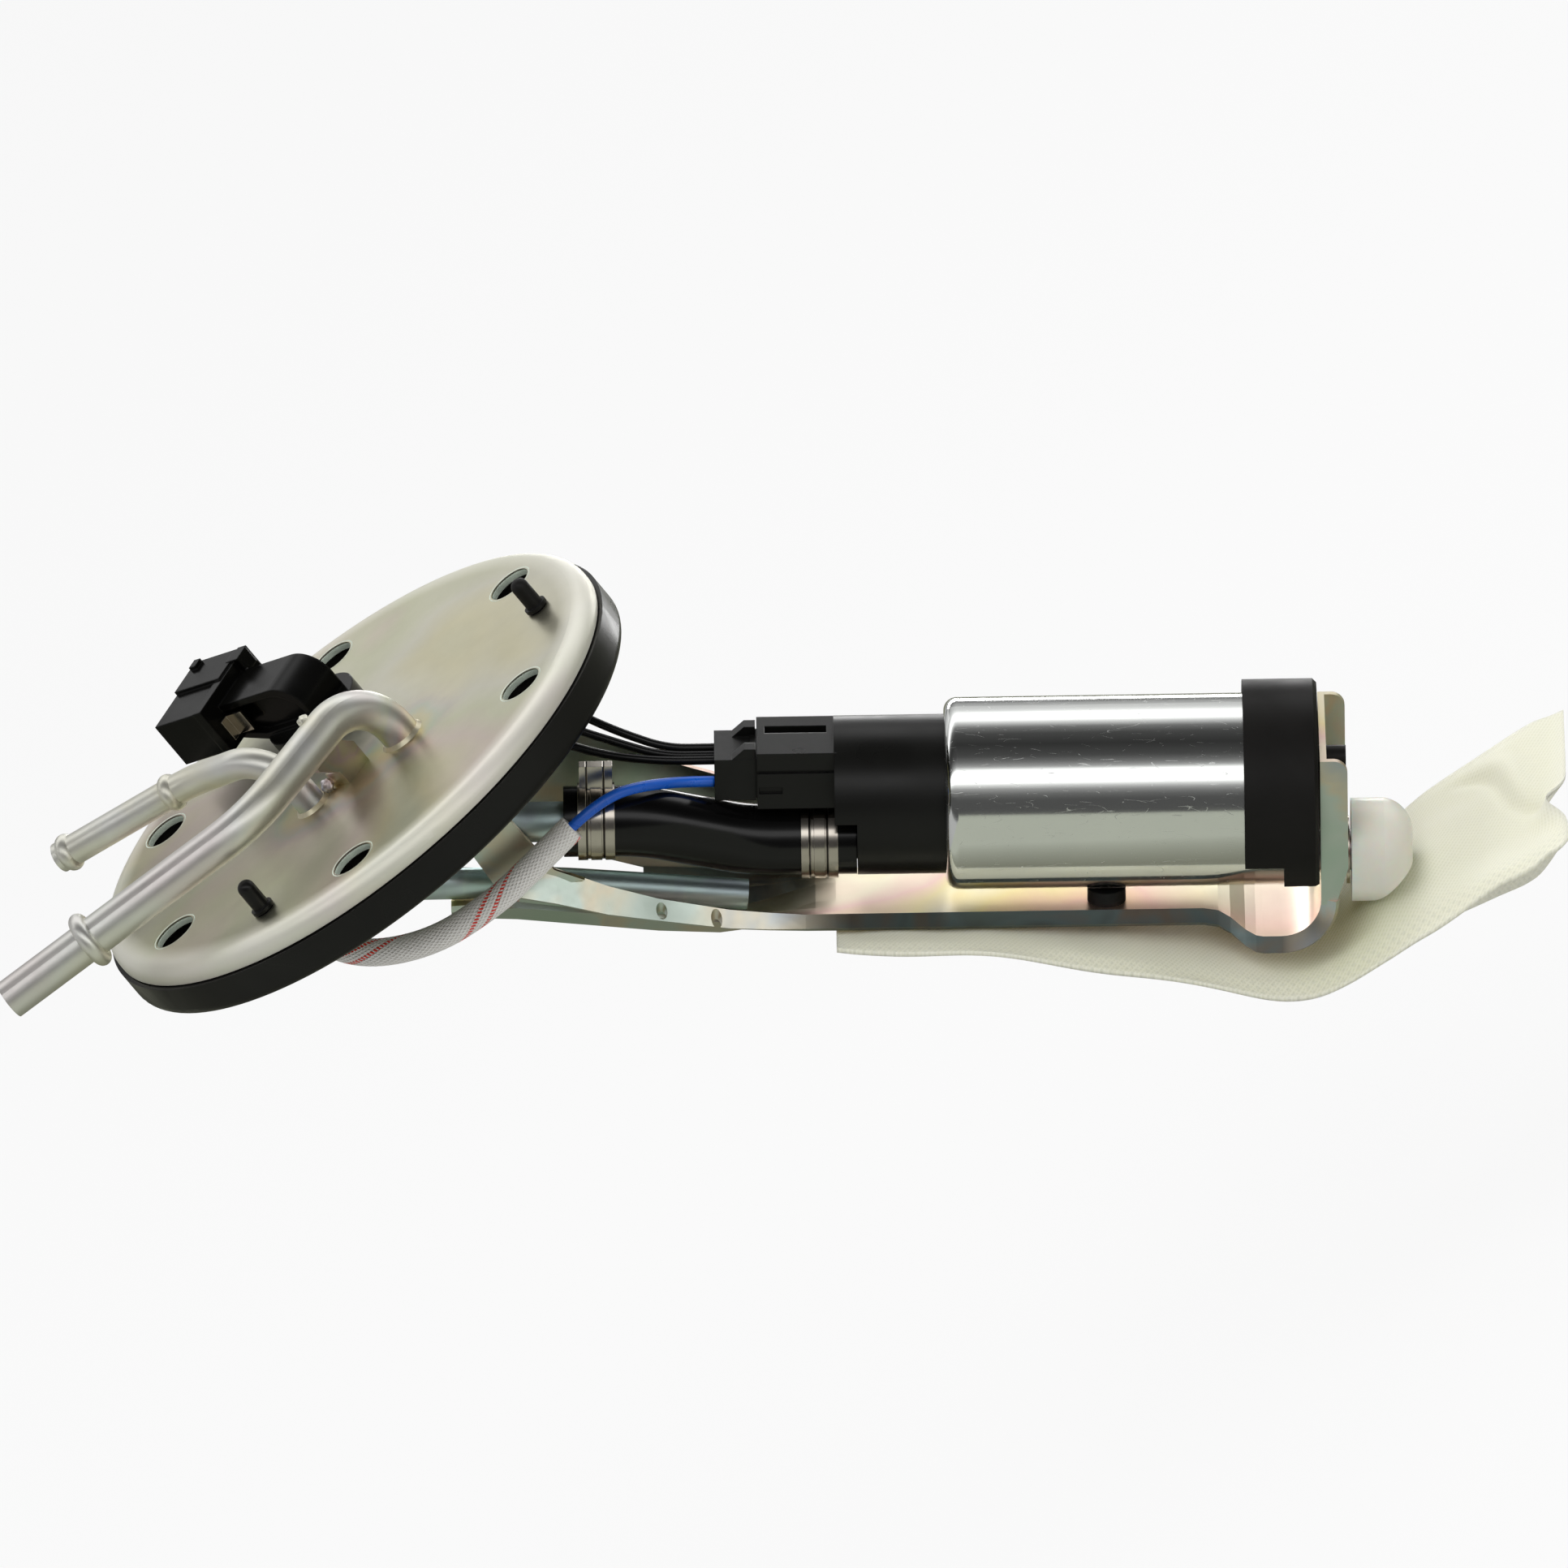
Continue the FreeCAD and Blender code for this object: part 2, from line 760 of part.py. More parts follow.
def elbow_profile(inset):
    """The elbow's side outline, a rounded back rising from the disc to the block."""
    back = -float(size.elbow_back) + inset
    top = float(size.elbow_top) - inset
    front = float(size.block_start) + 0.5
    bottom = float(size.connector_disc_height) - 0.6 + inset
    bend = float(size.elbow_round)
    centre = point(back + bend, 0, top - bend)
    slant = point(-math.sqrt(0.5), 0, math.sqrt(0.5)) * bend
    rise = point(front, 0, float(size.block_bottom) + inset)
    toe = point(float(size.connector_disc) - 1.5, 0, bottom)
    edges = [
        Part.LineSegment(point(back, 0, bottom), point(back, 0, top - bend)),
        Part.Arc(point(back, 0, top - bend), centre + slant, point(back + bend, 0, top)),
        Part.LineSegment(point(back + bend, 0, top), point(front, 0, top)),
        Part.LineSegment(point(front, 0, top), rise),
        Part.LineSegment(rise, toe),
        Part.LineSegment(toe, point(back, 0, bottom)),
    ]
    return Part.Face(Part.Wire([edge.toShape() for edge in edges]))


def connector_body():
    half = float(size.elbow_width) / 2
    elbow = elbow_profile(0).extrude(point(0, size.elbow_width, 0))
    elbow.translate(point(0, -half, 0))
    web = elbow_profile(float(size.elbow_rim)).extrude(point(0, size.elbow_web_depth, 0))
    for side in (-half, half - float(size.elbow_web_depth)):
        pocket = web.copy()
        pocket.translate(point(0, side, 0))
        elbow = elbow.cut(pocket)
    elbow_solid = doc.addObject("Part::Feature", "connector_elbow")
    elbow_solid.Shape = elbow
    width = size.block_width
    wall = size.block_wall
    shroud = less("connector_shroud", block(
        "connector_block", size.block_start, -width / 2, size.block_bottom,
        size.block_depth, width, size.block_height,
    ), [block(
        "connector_cavity", size.block_start + size.block_depth - size.cavity_depth,
        wall - width / 2, size.block_bottom + wall,
        size.cavity_depth + 1, width - 2 * wall, size.block_height - 2 * wall,
    )])
    top = size.block_bottom + size.block_height
    key_rib = block("connector_key_rib", size.block_start, 0.6 - width / 2, top - 0.2,
                    size.block_depth, width / 2 - 0.6, 1.0)
    latch = block("connector_latch", size.block_start - 2.2, 0.8 - width / 2, top - 3.0,
                  3.4, 3.8, 3.9)
    collar = block("connector_collar", size.block_start - 1.0, -width / 2 - 0.5,
                   size.block_bottom - 0.4, 2.4, width + 1.0, size.block_height + 0.8)
    hook = block("connector_hook", size.block_start + size.block_depth - 2.6, 1.0 - width / 2,
                 top - 0.2, 1.8, 2.4, 1.8)
    base = post("connector_base", size.connector_disc, 0, 0, 0.1, size.connector_disc_height)
    neck = post("connector_neck_post", size.connector_neck, 0, 0, -size.connector_drop,
                size.connector_drop + 1)
    pieces = [elbow_solid, shroud, key_rib, latch, collar, hook, base, neck]
    keep(fused("connector_body", pieces), "connector_body", CONNECTOR_FRAME)


def connector_seal():
    """The square-cut ring that seals the connector's neck under the plate."""
    ring = post("seal_ring", size.connector_neck + 1.8, 0, 0, -size.plate_sheet - 1.9, 1.6)
    bore = post("seal_bore", size.connector_neck, 0, 0, -size.plate_sheet - 3, 4)
    keep(less("connector_seal", ring, [bore]), "connector_seal", CONNECTOR_FRAME)


def connector_pins():
    """Four flat pins standing in the shroud."""
    floor = size.block_start + size.block_depth - size.cavity_depth
    middle = size.block_bottom + size.block_height / 2
    pins = []
    for index in range(4):
        across = (index - 1.5) * size.pin_pitch
        pins.append(block(f"pin_{index}", floor, across - size.pin_width / 2,
                          middle - size.pin_sheet / 2, size.pin_length,
                          size.pin_width, size.pin_sheet))
    group = doc.addObject("Part::Compound", "connector_pins")
    group.Links = pins
    keep(group, "connector_pins", CONNECTOR_FRAME)


def connector_clip():
    """A bent spring strip hooked on the elbow's side, against the shroud's back."""
    side = size.elbow_width / 2
    back = size.block_start - 1.0 - size.clip_sheet
    upright = block("clip_upright", back, side, size.block_bottom + 1,
                    size.clip_sheet, size.clip_width - 1.6, size.clip_rise)
    arm = block("clip_arm", back - size.clip_width, side, size.block_bottom + 1,
                size.clip_width + size.clip_sheet, size.clip_sheet, size.clip_rise)
    keep(fused("connector_clip", [upright, arm]), "connector_clip", CONNECTOR_FRAME)


# Bracket: a stamped channel with a trough, two legs, lips, a ramp and an upturned end wall

def strip_section(place, line):
    """A strip of sheet across the pump's axis: its upper line, thickened downwards."""
    sheet = float(size.bracket_sheet)
    count = len(line)
    normals = []
    for index in range(count - 1):
        (y0, z0), (y1, z1) = line[index], line[index + 1]
        length = math.hypot(y1 - y0, z1 - z0)
        normals.append(((z1 - z0) / length, -(y1 - y0) / length))
    under = []
    for index, (y, z) in enumerate(line):
        before = normals[max(index - 1, 0)]
        after = normals[min(index, count - 2)]
        across = before[0] + after[0]
        down = before[1] + after[1]
        scale = 2 * sheet / (across * across + down * down)
        under.append((y + across * scale, z + down * scale))
    corners = [point(place, y, z) for y, z in list(line) + under[::-1]]
    return Part.makePolygon(corners + [corners[0]])


def strip(stations):
    return Part.makeLoft([strip_section(place, line) for place, line in stations], True, True)


def lipped(half, height, depth, reach):
    """The channel's plain section: a flat web between two lips turned down and out."""
    depth = float(depth)
    reach = float(reach)
    half = float(half)
    height = float(height)
    return [(-half - reach, height - depth), (-half, height), (half, height),
            (half + reach, height - depth)]


def wall_flange(side):
    """One upright flange of the end wall: it swells out of the bend and has a round top."""
    near = float(size.wall_face)
    depth = near + float(size.flange_depth)
    top = float(size.wall_top)
    low = float(size.cup_height + size.cup_bend)
    round_off = float(size.flange_round)
    shoulder = round_off * (1 - math.sqrt(0.5))
    runs = [
        (near, low - 1.0), (near + 2.9, low - 1.0), (depth, low + 7.0),
        (depth, top - round_off),
    ]
    edges = [
        Part.LineSegment(point(runs[i][0], 0, runs[i][1]),
                         point(runs[i + 1][0], 0, runs[i + 1][1])) for i in range(3)
    ]
    edges.append(Part.Arc(point(depth, 0, top - round_off),
                          point(depth - shoulder, 0, top - shoulder),
                          point(depth - round_off, 0, top)))
    edges.append(Part.LineSegment(point(depth - round_off, 0, top), point(near, 0, top)))
    edges.append(Part.LineSegment(point(near, 0, top), point(near, 0, low - 1.0)))
    face = Part.Face(Part.Wire([edge.toShape() for edge in edges]))
    sheet = float(size.bracket_sheet)
    outer = side * float(size.cup_half_width + size.bracket_sheet / 2)
    start = outer if side < 0 else outer - sheet
    face.translate(point(0, start, 0))
    return face.extrude(point(0, sheet, 0))


def bracket_channel():
    web = float(size.web_height)
    cup_centre = float(size.wall_face - size.cup_bend)
    reach = float(size.lip_reach)
    depth = float(size.lip_depth)
    more_reach = float(size.cup_lip_reach) - reach
    more_depth = float(size.cup_lip_depth) - depth
    cup = lipped(size.cup_half_width, size.cup_height, size.cup_lip_depth, size.cup_lip_reach)
    widen = float(size.cup_half_width - size.web_half_width)
    drop = float(size.cup_height) - web
    length = float(size.ramp_end - size.ramp_start)
    stations = [(float(size.trough_end), lipped(size.web_half_width, web, depth, reach))]
    for share, ease in ((0.0, 0.0), (0.25, 0.08), (0.45, 0.32), (0.7, 0.75), (0.88, 0.96)):
        stations.append((float(size.ramp_start) + length * share,
                         lipped(float(size.web_half_width) + widen * ease, web + drop * ease,
                                depth + more_depth * ease, reach + more_reach * ease)))
    stations.append((float(size.ramp_end), cup))
    stations.append((cup_centre, cup))
    channel = strip(stations)
    face = Part.Face(strip_section(cup_centre, cup))
    pivot = point(cup_centre, 0, size.cup_height + size.cup_bend)
    bend = face.revolve(pivot, -Y_AXIS, 90)
    low = float(size.cup_height + size.cup_bend)
    half = float(size.cup_half_width)
    wall = Part.makeBox(float(size.bracket_sheet), 2 * half, float(size.wall_top) - low,
                        point(size.wall_face, -half, low))
    return channel.fuse([bend, wall, wall_flange(-1), wall_flange(1)])


def bracket_trough():
    """The pressed trough that holds the return tube, and the web's far side."""
    web = float(size.web_height)
    half = float(size.web_half_width)

    def section(bottom, ridge):
        return [(-half, ridge), (-7.5, bottom + 4.0), (-4.0, bottom), (4.0, bottom),
                (7.5, bottom + 4.0)]

    flat = [(-half, web), (-7.5, web), (-4.0, web), (4.0, web), (7.5, web)]

    def fading(share):
        """The trough's section on its way to the flat web."""
        return [(a[0], a[1] + (b[1] - a[1]) * share) for a, b in zip(section(-26.2, web), flat)]

    trough = strip([
        (21.0, section(-22.0, -18.0)),
        (34.0, section(-22.6, -17.2)),
        (62.0, section(-25.6, -19.8)),
        (74.0, section(-26.2, web)),
        (79.0, fading(0.12)),
        (84.0, fading(0.38)),
        (89.0, fading(0.7)),
        (93.0, fading(0.92)),
        (float(size.trough_end), flat),
    ])
    far_web = strip([
        (59.0, [(6.5, -22.1), (half + 0.8, -19.5)]),
        (76.0, [(6.5, -22.9), (half + 0.8, -20.3)]),
        (84.0, [(6.5, -22.4), (half + 0.8, -20.6)]),
        (91.0, [(6.5, -21.4), (half + 0.8, -20.9)]),
        (float(size.trough_end), [(6.5, web), (half + 0.8, web)]),
    ])
    return trough.fuse(far_web)


def bracket_near_side():
    """The near flange: it rises from the trough to a ridge and turns out to its cut edge."""
    web = float(size.web_height)
    half = float(size.web_half_width)
    return strip([
        (34.5, [(-18.6, -12.4), (-14.2, -6.4), (-9.6, -16.6)]),
        (42.0, [(-18.0, -14.2), (-14.0, -8.4), (-9.6, -17.6)]),
        (52.0, [(-17.0, -17.2), (-13.6, -12.6), (-9.6, -18.6)]),
        (62.0, [(-16.0, -19.2), (-13.1, -15.8), (-9.6, -19.6)]),
        (76.0, [(-14.2, -22.0), (-12.2, -18.9), (-9.6, -20.8)]),
        (84.0, [(-13.5, -22.7), (-11.6, -20.0), (-9.6, -21.0)]),
        (91.0, [(-13.0, -23.0), (-11.0, -20.8), (-9.6, -21.0)]),
        (float(size.trough_end), [(-half - float(size.lip_reach), web - float(size.lip_depth)),
                                  (-half, web), (-9.6, web)]),
    ])


def upright_plate(corners, inner_y, thickness):
    """A flat leg in a plane along the pump, its corners given in the pump's frame."""
    places = [point(x, inner_y, z) for x, z in corners]
    face = Part.Face(Part.makePolygon(places + [places[0]]))
    return face.extrude(point(0, thickness, 0))


def on_plate(x):
    """The place in the pump's frame of a point x along the plate's underside."""
    place = PUMP_FRAME.inverse().multVec(point(x, 0, -size.plate_sheet))
    return place.x, place.z


def bracket_legs():
    sheet = float(size.bracket_sheet)
    near_y = -14.9
    near = upright_plate([
        on_plate(13.5), on_plate(21.5), (41.5, -8.3), (47.5, -10.6), (42.0, -11.5),
        (36.0, -9.5), (29.6, -11.4),
    ], near_y, sheet)
    far_y = float(size.web_half_width)
    far = upright_plate([
        on_plate(1.0), on_plate(17.4), (51.8, 7.5), (60.6, 4.1), (73.4, 0.0), (86.0, -7.5),
        (95.0, -16.0), (98.0, float(size.web_height) - 0.6), (59.0, -20.2), (46.0, -16.5),
        (36.0, -11.5),
    ], far_y, sheet)
    back_to_pump = PUMP_FRAME.inverse()
    foot = float(size.leg_foot)
    bottom = -float(size.plate_sheet) - sheet
    near_foot = Part.makeBox(8.0, foot, sheet, point(13.5, near_y + sheet - foot, bottom))
    far_foot = Part.makeBox(13.4, foot, sheet, point(4.0, far_y, bottom))
    feet = [box.transformed(back_to_pump.toMatrix()) for box in (near_foot, far_foot)]
    return [near, far] + feet


def bracket():
    shape = bracket_channel().fuse([bracket_trough(), bracket_near_side()] + bracket_legs())
    plate_cut = Part.makeBox(200, 200, 100, point(-100, -100, -size.plate_sheet))
    shape = shape.cut(plate_cut.transformed(PUMP_FRAME.inverse().toMatrix()))
    wall = float(size.wall_face) - 1
    holes = [
        (size.inlet_radius + 0.6, point(wall, size.inlet_y, size.inlet_z), X_AXIS),
        (size.peg_radius + size.peg_fit, point(wall, size.peg_y, size.peg_z), X_AXIS),
        (size.bumper_stem + size.bumper_fit / 2,
         point(size.bumper_place, size.bumper_y, size.web_height - 3), Z_AXIS),
        (1.1, point(62.6, -14.6, -24), Z_AXIS),
        (1.1, point(73.4, -13.6, -26), Z_AXIS),
    ]
    for radius, place, heading in holes:
        shape = shape.cut(Part.makeCylinder(float(radius), 10, place, heading))
    shape = shape.removeSplitter()
    print("bracket solids", len(shape.Solids))
    shaped("bracket", shape)


# Pump can, outlet cap, hose and clamps

def pump_case():
    """The rolled can: both ends turned in over their covers with rounded shoulders."""
    first, last = float(size.case_start), float(size.case_end)
    mouth, outer = float(size.case_mouth), float(size.case_radius)
    inlet = float(size.case_inlet_mouth)
    wall, bend = float(size.case_wall), float(size.case_round)
    shoulder = bend * (1 - math.sqrt(0.5))
    inside = outer - wall
    edges = [
        Part.LineSegment(point(first, 0, mouth), point(first, 0, outer - bend)),
        Part.Arc(point(first, 0, outer - bend), point(first + shoulder, 0, outer - shoulder),
                 point(first + bend, 0, outer)),
        Part.LineSegment(point(first + bend, 0, outer), point(last - bend, 0, outer)),
        Part.Arc(point(last - bend, 0, outer), point(last - shoulder, 0, outer - shoulder),
                 point(last, 0, outer - bend)),
        Part.LineSegment(point(last, 0, outer - bend), point(last, 0, inlet)),
        Part.LineSegment(point(last, 0, inlet), point(last - wall, 0, inlet)),
        Part.LineSegment(point(last - wall, 0, inlet), point(last - wall, 0, inside)),
        Part.LineSegment(point(last - wall, 0, inside), point(first + wall, 0, inside)),
        Part.LineSegment(point(first + wall, 0, inside), point(first + wall, 0, mouth)),
        Part.LineSegment(point(first + wall, 0, mouth), point(first, 0, mouth)),
    ]
    face = Part.Face(Part.Wire([edge.toShape() for edge in edges]))
    shaped("pump_case", face.revolve(ORIGIN, X_AXIS, 360))


def outlet_cap():
    """The moulded cap: round crown, spigot in the can, socket and barbed nipple."""
    spigot = size.case_radius - size.case_wall - size.cap_fit
    crown = turned("cap_crown", [
        (size.cap_face, 0.0),
        (size.cap_face, size.cap_radius),
        (size.case_start + size.case_wall + size.cap_fit, size.cap_radius),
        (size.case_start + size.case_wall + size.cap_fit, spigot),
        (size.spigot_end, spigot),
        (size.spigot_end, spigot - size.spigot_wall),
        (size.cap_floor, spigot - size.spigot_wall),
        (size.cap_floor, 0.0),
    ], ROW_FRAME)
    width = size.socket_half_width
    lower_cut = block("cap_lower_cut", size.cap_face - 1, -size.cap_radius - 1,
                      -size.cap_radius - 1, size.cap_low_face - size.cap_face + 1,
                      2 * size.cap_radius + 2, size.cap_radius + 1 + size.socket_bottom - 0.4)
    socket = block("cap_socket", size.socket_face, -width, size.socket_bottom,
                   size.cap_face - size.socket_face + 0.5, 2 * width,
                   size.socket_top - size.socket_bottom)
    nipple = disc("cap_nipple", size.nipple_radius, size.nipple_end,
                  size.cap_low_face - size.nipple_end + 0.5, size.nipple_y, size.nipple_z)
    solid = fused("cap_solid", [less("cap_crown_cut", crown, [lower_cut]), socket, nipple])
    inner = width - size.socket_wall
    slot = block("socket_slot", size.socket_face + 1.6, 1.0,
                 size.socket_top - size.socket_wall - 0.5, size.socket_depth, 3.2, 4.0)
    groove = block("socket_groove", size.socket_face - 1, -width - 1, size.socket_top - 4.4,
                   size.socket_depth + 4, 1.6, 0.7)
    window = block("socket_window", size.socket_face + 0.4, -width - 1, size.socket_top - 8.8,
                   4.6, 1.7, 1.4)
    tools = [
        block("socket_cavity", size.socket_face - 1, -inner,
              size.socket_bottom + size.socket_wall, size.socket_depth + 1, 2 * inner,
              size.socket_top - size.socket_bottom - 2 * size.socket_wall),
        slot, groove, window,
        disc("nipple_hole", size.nipple_bore, size.nipple_end - 1,
             size.valve_start - size.nipple_end + 2, size.nipple_y, size.nipple_z),
        disc("valve_hole", size.valve_bore, size.valve_start,
             size.valve_end - size.valve_start, size.nipple_y, size.nipple_z),
        disc("valve_inlet_hole", size.check_stem + 0.8, size.valve_end - 1,
             size.cap_floor - size.valve_end + 2, size.nipple_y, size.nipple_z),
        disc("relief_hole", size.relief_bore, size.relief_start,
             size.cap_floor - size.relief_start + 1, size.relief_y, size.relief_z),
        disc("bearing_hole", size.bearing_radius, size.bearing_outlet_start,
             size.cap_floor - size.bearing_outlet_start + 1),
    ]
    for name, side in (("far", 1), ("near", -1)):
        guide = size.brush_width / 2 + size.brush_fit
        tools.append(block(f"brush_guide_{name}", brush_start() - size.brush_spring_length - 0.4,
                           side * size.brush_offset - guide,
                           -size.brush_height / 2 - size.brush_fit, 30.0, 2 * guide,
                           size.brush_height + 2 * size.brush_fit))
    keep(less("outlet_cap", solid, tools), "outlet_cap", PUMP_FRAME)


def pump_terminals():
    """Two blades standing in the socket."""
    root = size.socket_face + size.socket_depth
    middle = (size.socket_bottom + size.socket_top) / 2
    blades = [block(f"blade_{name}", root - size.blade_length,
                    side * size.blade_offset - size.blade_width / 2,
                    middle - size.blade_sheet / 2, size.blade_length, size.blade_width,
                    size.blade_sheet) for name, side in (("near", -1), ("far", 1))]
    group = doc.addObject("Part::Compound", "pump_terminals")
    group.Links = blades
    keep(group, "pump_terminals", PUMP_FRAME)


def hose_path():
    """The hose's centre line: along the feed tube, an easy S, along the nipple."""
    feed_y, feed_z = size.feed_hole_y, size.feed_axis_height
    points = [
        point(size.hose_start, feed_y, feed_z),
        point(size.hose_bend_start, feed_y, feed_z),
        point(size.hose_bend_end, size.nipple_y, size.nipple_z),
        point(size.hose_end, size.nipple_y, size.nipple_z),
    ]
    return rounded_path(points, [float(size.hose_bend)] * 2)


def hose():
    path = hose_path()
    bore = size.nipple_radius + size.hose_bore_fit
    shaped("hose", pipe(path, size.hose_radius, bore))


def hose_clamp(label, start, y, z, ear_on_top):
    """A band clamp with raised edges and middle, and its ear bent up beside the hose."""
    inner = size.hose_radius + size.hose_bore_fit
    outer = inner + size.clamp_band
    third = size.clamp_width / 3
    band = less(f"{label}_band", fused(f"{label}_rings", [
        disc(f"{label}_wide", outer - size.clamp_groove, start, size.clamp_width, y, z),
        disc(f"{label}_left", outer, start, third * 0.8, y, z),
        disc(f"{label}_middle", outer, start + third * 1.05, third * 0.9, y, z),
        disc(f"{label}_right", outer, start + size.clamp_width - third * 0.8, third * 0.8, y, z),
    ]), [disc(f"{label}_bore", inner, start - 1, size.clamp_width + 2, y, z)])
    left = start + (size.clamp_width - size.clamp_tab_width) / 2
    rise = inner + 0.2
    tip = rise + size.clamp_tab_height - 0.8
    if ear_on_top:
        ear = block(f"{label}_tab", left, y - 1.2, z + rise,
                    size.clamp_tab_width, 0.8, size.clamp_tab_height)
        curl = block(f"{label}_curl", left, y - 1.2, z + tip, size.clamp_tab_width, 2.6, 0.8)
    else:
        ear = block(f"{label}_tab", left, y + rise, z - 1.2,
                    size.clamp_tab_width, size.clamp_tab_height, 0.8)
        curl = block(f"{label}_curl", left, y + tip, z - 1.2, size.clamp_tab_width, 0.8, 2.6)
    keep(fused(label, [band, ear, curl]), label, PUMP_FRAME)


def plug():
    """The harness plug: a rear block with two ramped ears and a nose in the socket."""
    fit = size.plug_fit
    half = size.socket_half_width - size.socket_wall - fit
    bottom = size.socket_bottom + size.socket_wall + fit
    top = size.socket_top - size.socket_wall - fit
    face = size.socket_face - fit
    rear = block("plug_rear", size.plug_start, -size.plug_half_width, size.plug_bottom,
                 face - size.plug_start, 2 * size.plug_half_width,
                 size.plug_top - size.plug_bottom)
    nose = block("plug_nose", face - 1, -half, bottom, size.plug_depth + 1, 2 * half,
                 top - bottom)
    pieces = [rear, nose]
    for name, side in (("near", -1), ("far", 1)):
        ear = doc.addObject("PartDesign::Body", f"plug_ear_{name}")
        outline = outline_sketch(ear, f"ear_outline_{name}", "XZ_Plane", [
            (size.ear_start, size.plug_top - 0.3),
            (face, size.plug_top - 0.3),
            (face, size.plug_top + size.ear_height),
            (face - 2.2, size.plug_top + size.ear_height),
        ])
        pad = ear.newObject("PartDesign::Pad", f"ear_pad_{name}")
        pad.Profile = outline
        pad.setExpression("Length", size.ear_width.text)
        ear.Tip = pad
        put(ear, 0, side * size.ear_spacing + size.ear_width / 2, 0)
        pieces.append(ear)
    middle = (size.socket_bottom + size.socket_top) / 2
    tools = []
    for name, side in (("near", -1), ("far", 1)):
        width = size.blade_width + 2 * size.blade_fit
        thick = size.blade_sheet + 2 * size.blade_fit
        tools.append(block(f"plug_slot_{name}", face - 2.0,
                           side * size.blade_offset - width / 2, middle - thick / 2,
                           size.plug_depth + 4, width, thick))
    keep(less("plug", fused("plug_solid", pieces), tools), "plug", PUMP_FRAME)


# Motor: rotor, field, brushes and bearings

def brush_start():
    return size.commutator_face - size.brush_gap - size.brush_length


def rotor():
    keep(turned("rotor_shaft", [
        (size.shaft_start, 0.0),
        (size.shaft_start, size.shaft_radius),
        (size.shaft_end, size.shaft_radius),
        (size.shaft_end, 0.0),
    ]), "rotor_shaft", PUMP_FRAME)
    core = turned("core_blank", [
        (size.core_start, size.shaft_radius),
        (size.core_start, size.core_radius),
        (size.core_start + size.core_length, size.core_radius),
        (size.core_start + size.core_length, size.shaft_radius),
    ], ROW_FRAME)
    slots = []
    for index in range(int(float(size.core_slots))):
        slot = block(f"core_slot_{index}", size.core_start - 1, -size.slot_width / 2,
                     size.core_radius - size.slot_depth, size.core_length + 2,
                     size.slot_width, size.slot_depth + 2)
        turn = FreeCAD.Rotation(X_AXIS, 360 * index / float(size.core_slots))
        place = FreeCAD.Placement(ORIGIN, turn)
        slot.setExpression("Placement.Base.x", None)
        slot.setExpression("Placement.Base.y", None)
        slot.setExpression("Placement.Base.z", None)
        slot.Placement = place.multiply(slot.Placement)
        slots.append(slot)
    keep(less("rotor_core", core, slots), "rotor_core", PUMP_FRAME)
    heads = []
    for name, start in (("outlet", size.core_start - size.winding_depth),
                        ("inlet", size.core_start + size.core_length)):
        heads.append(turned(f"winding_{name}", [
            (start, size.shaft_radius + 1.6),
            (start, size.winding_radius - 1.5),
            (start + size.winding_depth / 2, size.winding_radius),
            (start + size.winding_depth, size.winding_radius),
            (start + size.winding_depth, size.shaft_radius + 1.6),
        ], ROW_FRAME))
    group = doc.addObject("Part::Compound", "rotor_windings")
    group.Links = heads
    keep(group, "rotor_windings", PUMP_FRAME)
    keep(turned("commutator", [
        (size.commutator_face, size.shaft_radius),
        (size.commutator_face, size.commutator_radius),
        (size.commutator_face + size.commutator_depth, size.commutator_radius),
        (size.commutator_face + size.commutator_depth, size.shaft_radius + 1.4),
        (size.core_start - size.winding_depth, size.shaft_radius + 1.4),
        (size.core_start - size.winding_depth, size.shaft_radius),
    ]), "commutator", PUMP_FRAME)


def impeller():
    """A flat regenerative wheel: open pockets between vanes round both faces' rims."""
    body = turned("impeller", [
        (size.impeller_start, size.shaft_radius),
        (size.impeller_start, size.impeller_radius),
        (size.impeller_start + size.impeller_width, size.impeller_radius),
        (size.impeller_start + size.impeller_width, size.shaft_radius),
    ])
    doc.recompute()
    root = size.impeller_radius - size.vane_land - size.vane_depth
    sketch = outline_sketch(body, "vane_outline", "YZ_Plane", [
        (-size.vane_gap / 2, root),
        (size.vane_gap / 2, root),
        (size.vane_gap / 2, root + size.vane_depth),
        (-size.vane_gap / 2, root + size.vane_depth),
    ])
    pocket = body.newObject("PartDesign::Pocket", "vane_pocket")
    pocket.Profile = sketch
    pocket.Type = 1
    pocket.Reversed = True
    body.Tip = pocket
    doc.recompute()
    ring = body.newObject("PartDesign::PolarPattern", "vane_ring")
    ring.Originals = [pocket]
    ring.Axis = (plane_of(body, "X_Axis"), [""])
    ring.Angle = 360
    ring.setExpression("Occurrences", size.vane_count.text)
    body.Tip = ring
    keep(body, "impeller", PUMP_FRAME)


def arc_strip(inner, outer, start, length, middle_angle, spread):
    """A length of tube wall, spread either way from an angle round the pump's axis."""
    low = math.radians(middle_angle - spread / 2)
    corners = [
        point(start, float(radius) * math.cos(low), float(radius) * math.sin(low))
        for radius in (inner, outer)
    ]
    step = point(length, 0, 0)
    face = Part.Face(Part.makePolygon([corners[0], corners[1], corners[1] + step,
                                       corners[0] + step, corners[0]]))
    return face.revolve(ORIGIN, X_AXIS, spread)


def magnets():
    outer = size.magnet_outer
    shapes = [arc_strip(size.magnet_inner, outer, size.magnet_start, size.magnet_length,
                        angle, float(size.magnet_angle)) for angle in (0, 180)]
    shaped("magnets", Part.makeCompound(shapes))
    clips = [arc_strip(outer - size.clip_strip, outer, size.magnet_start, size.magnet_length,
                       angle, float(size.clip_angle)) for angle in (90, 270)]
    shaped("magnet_clips", Part.makeCompound(clips))


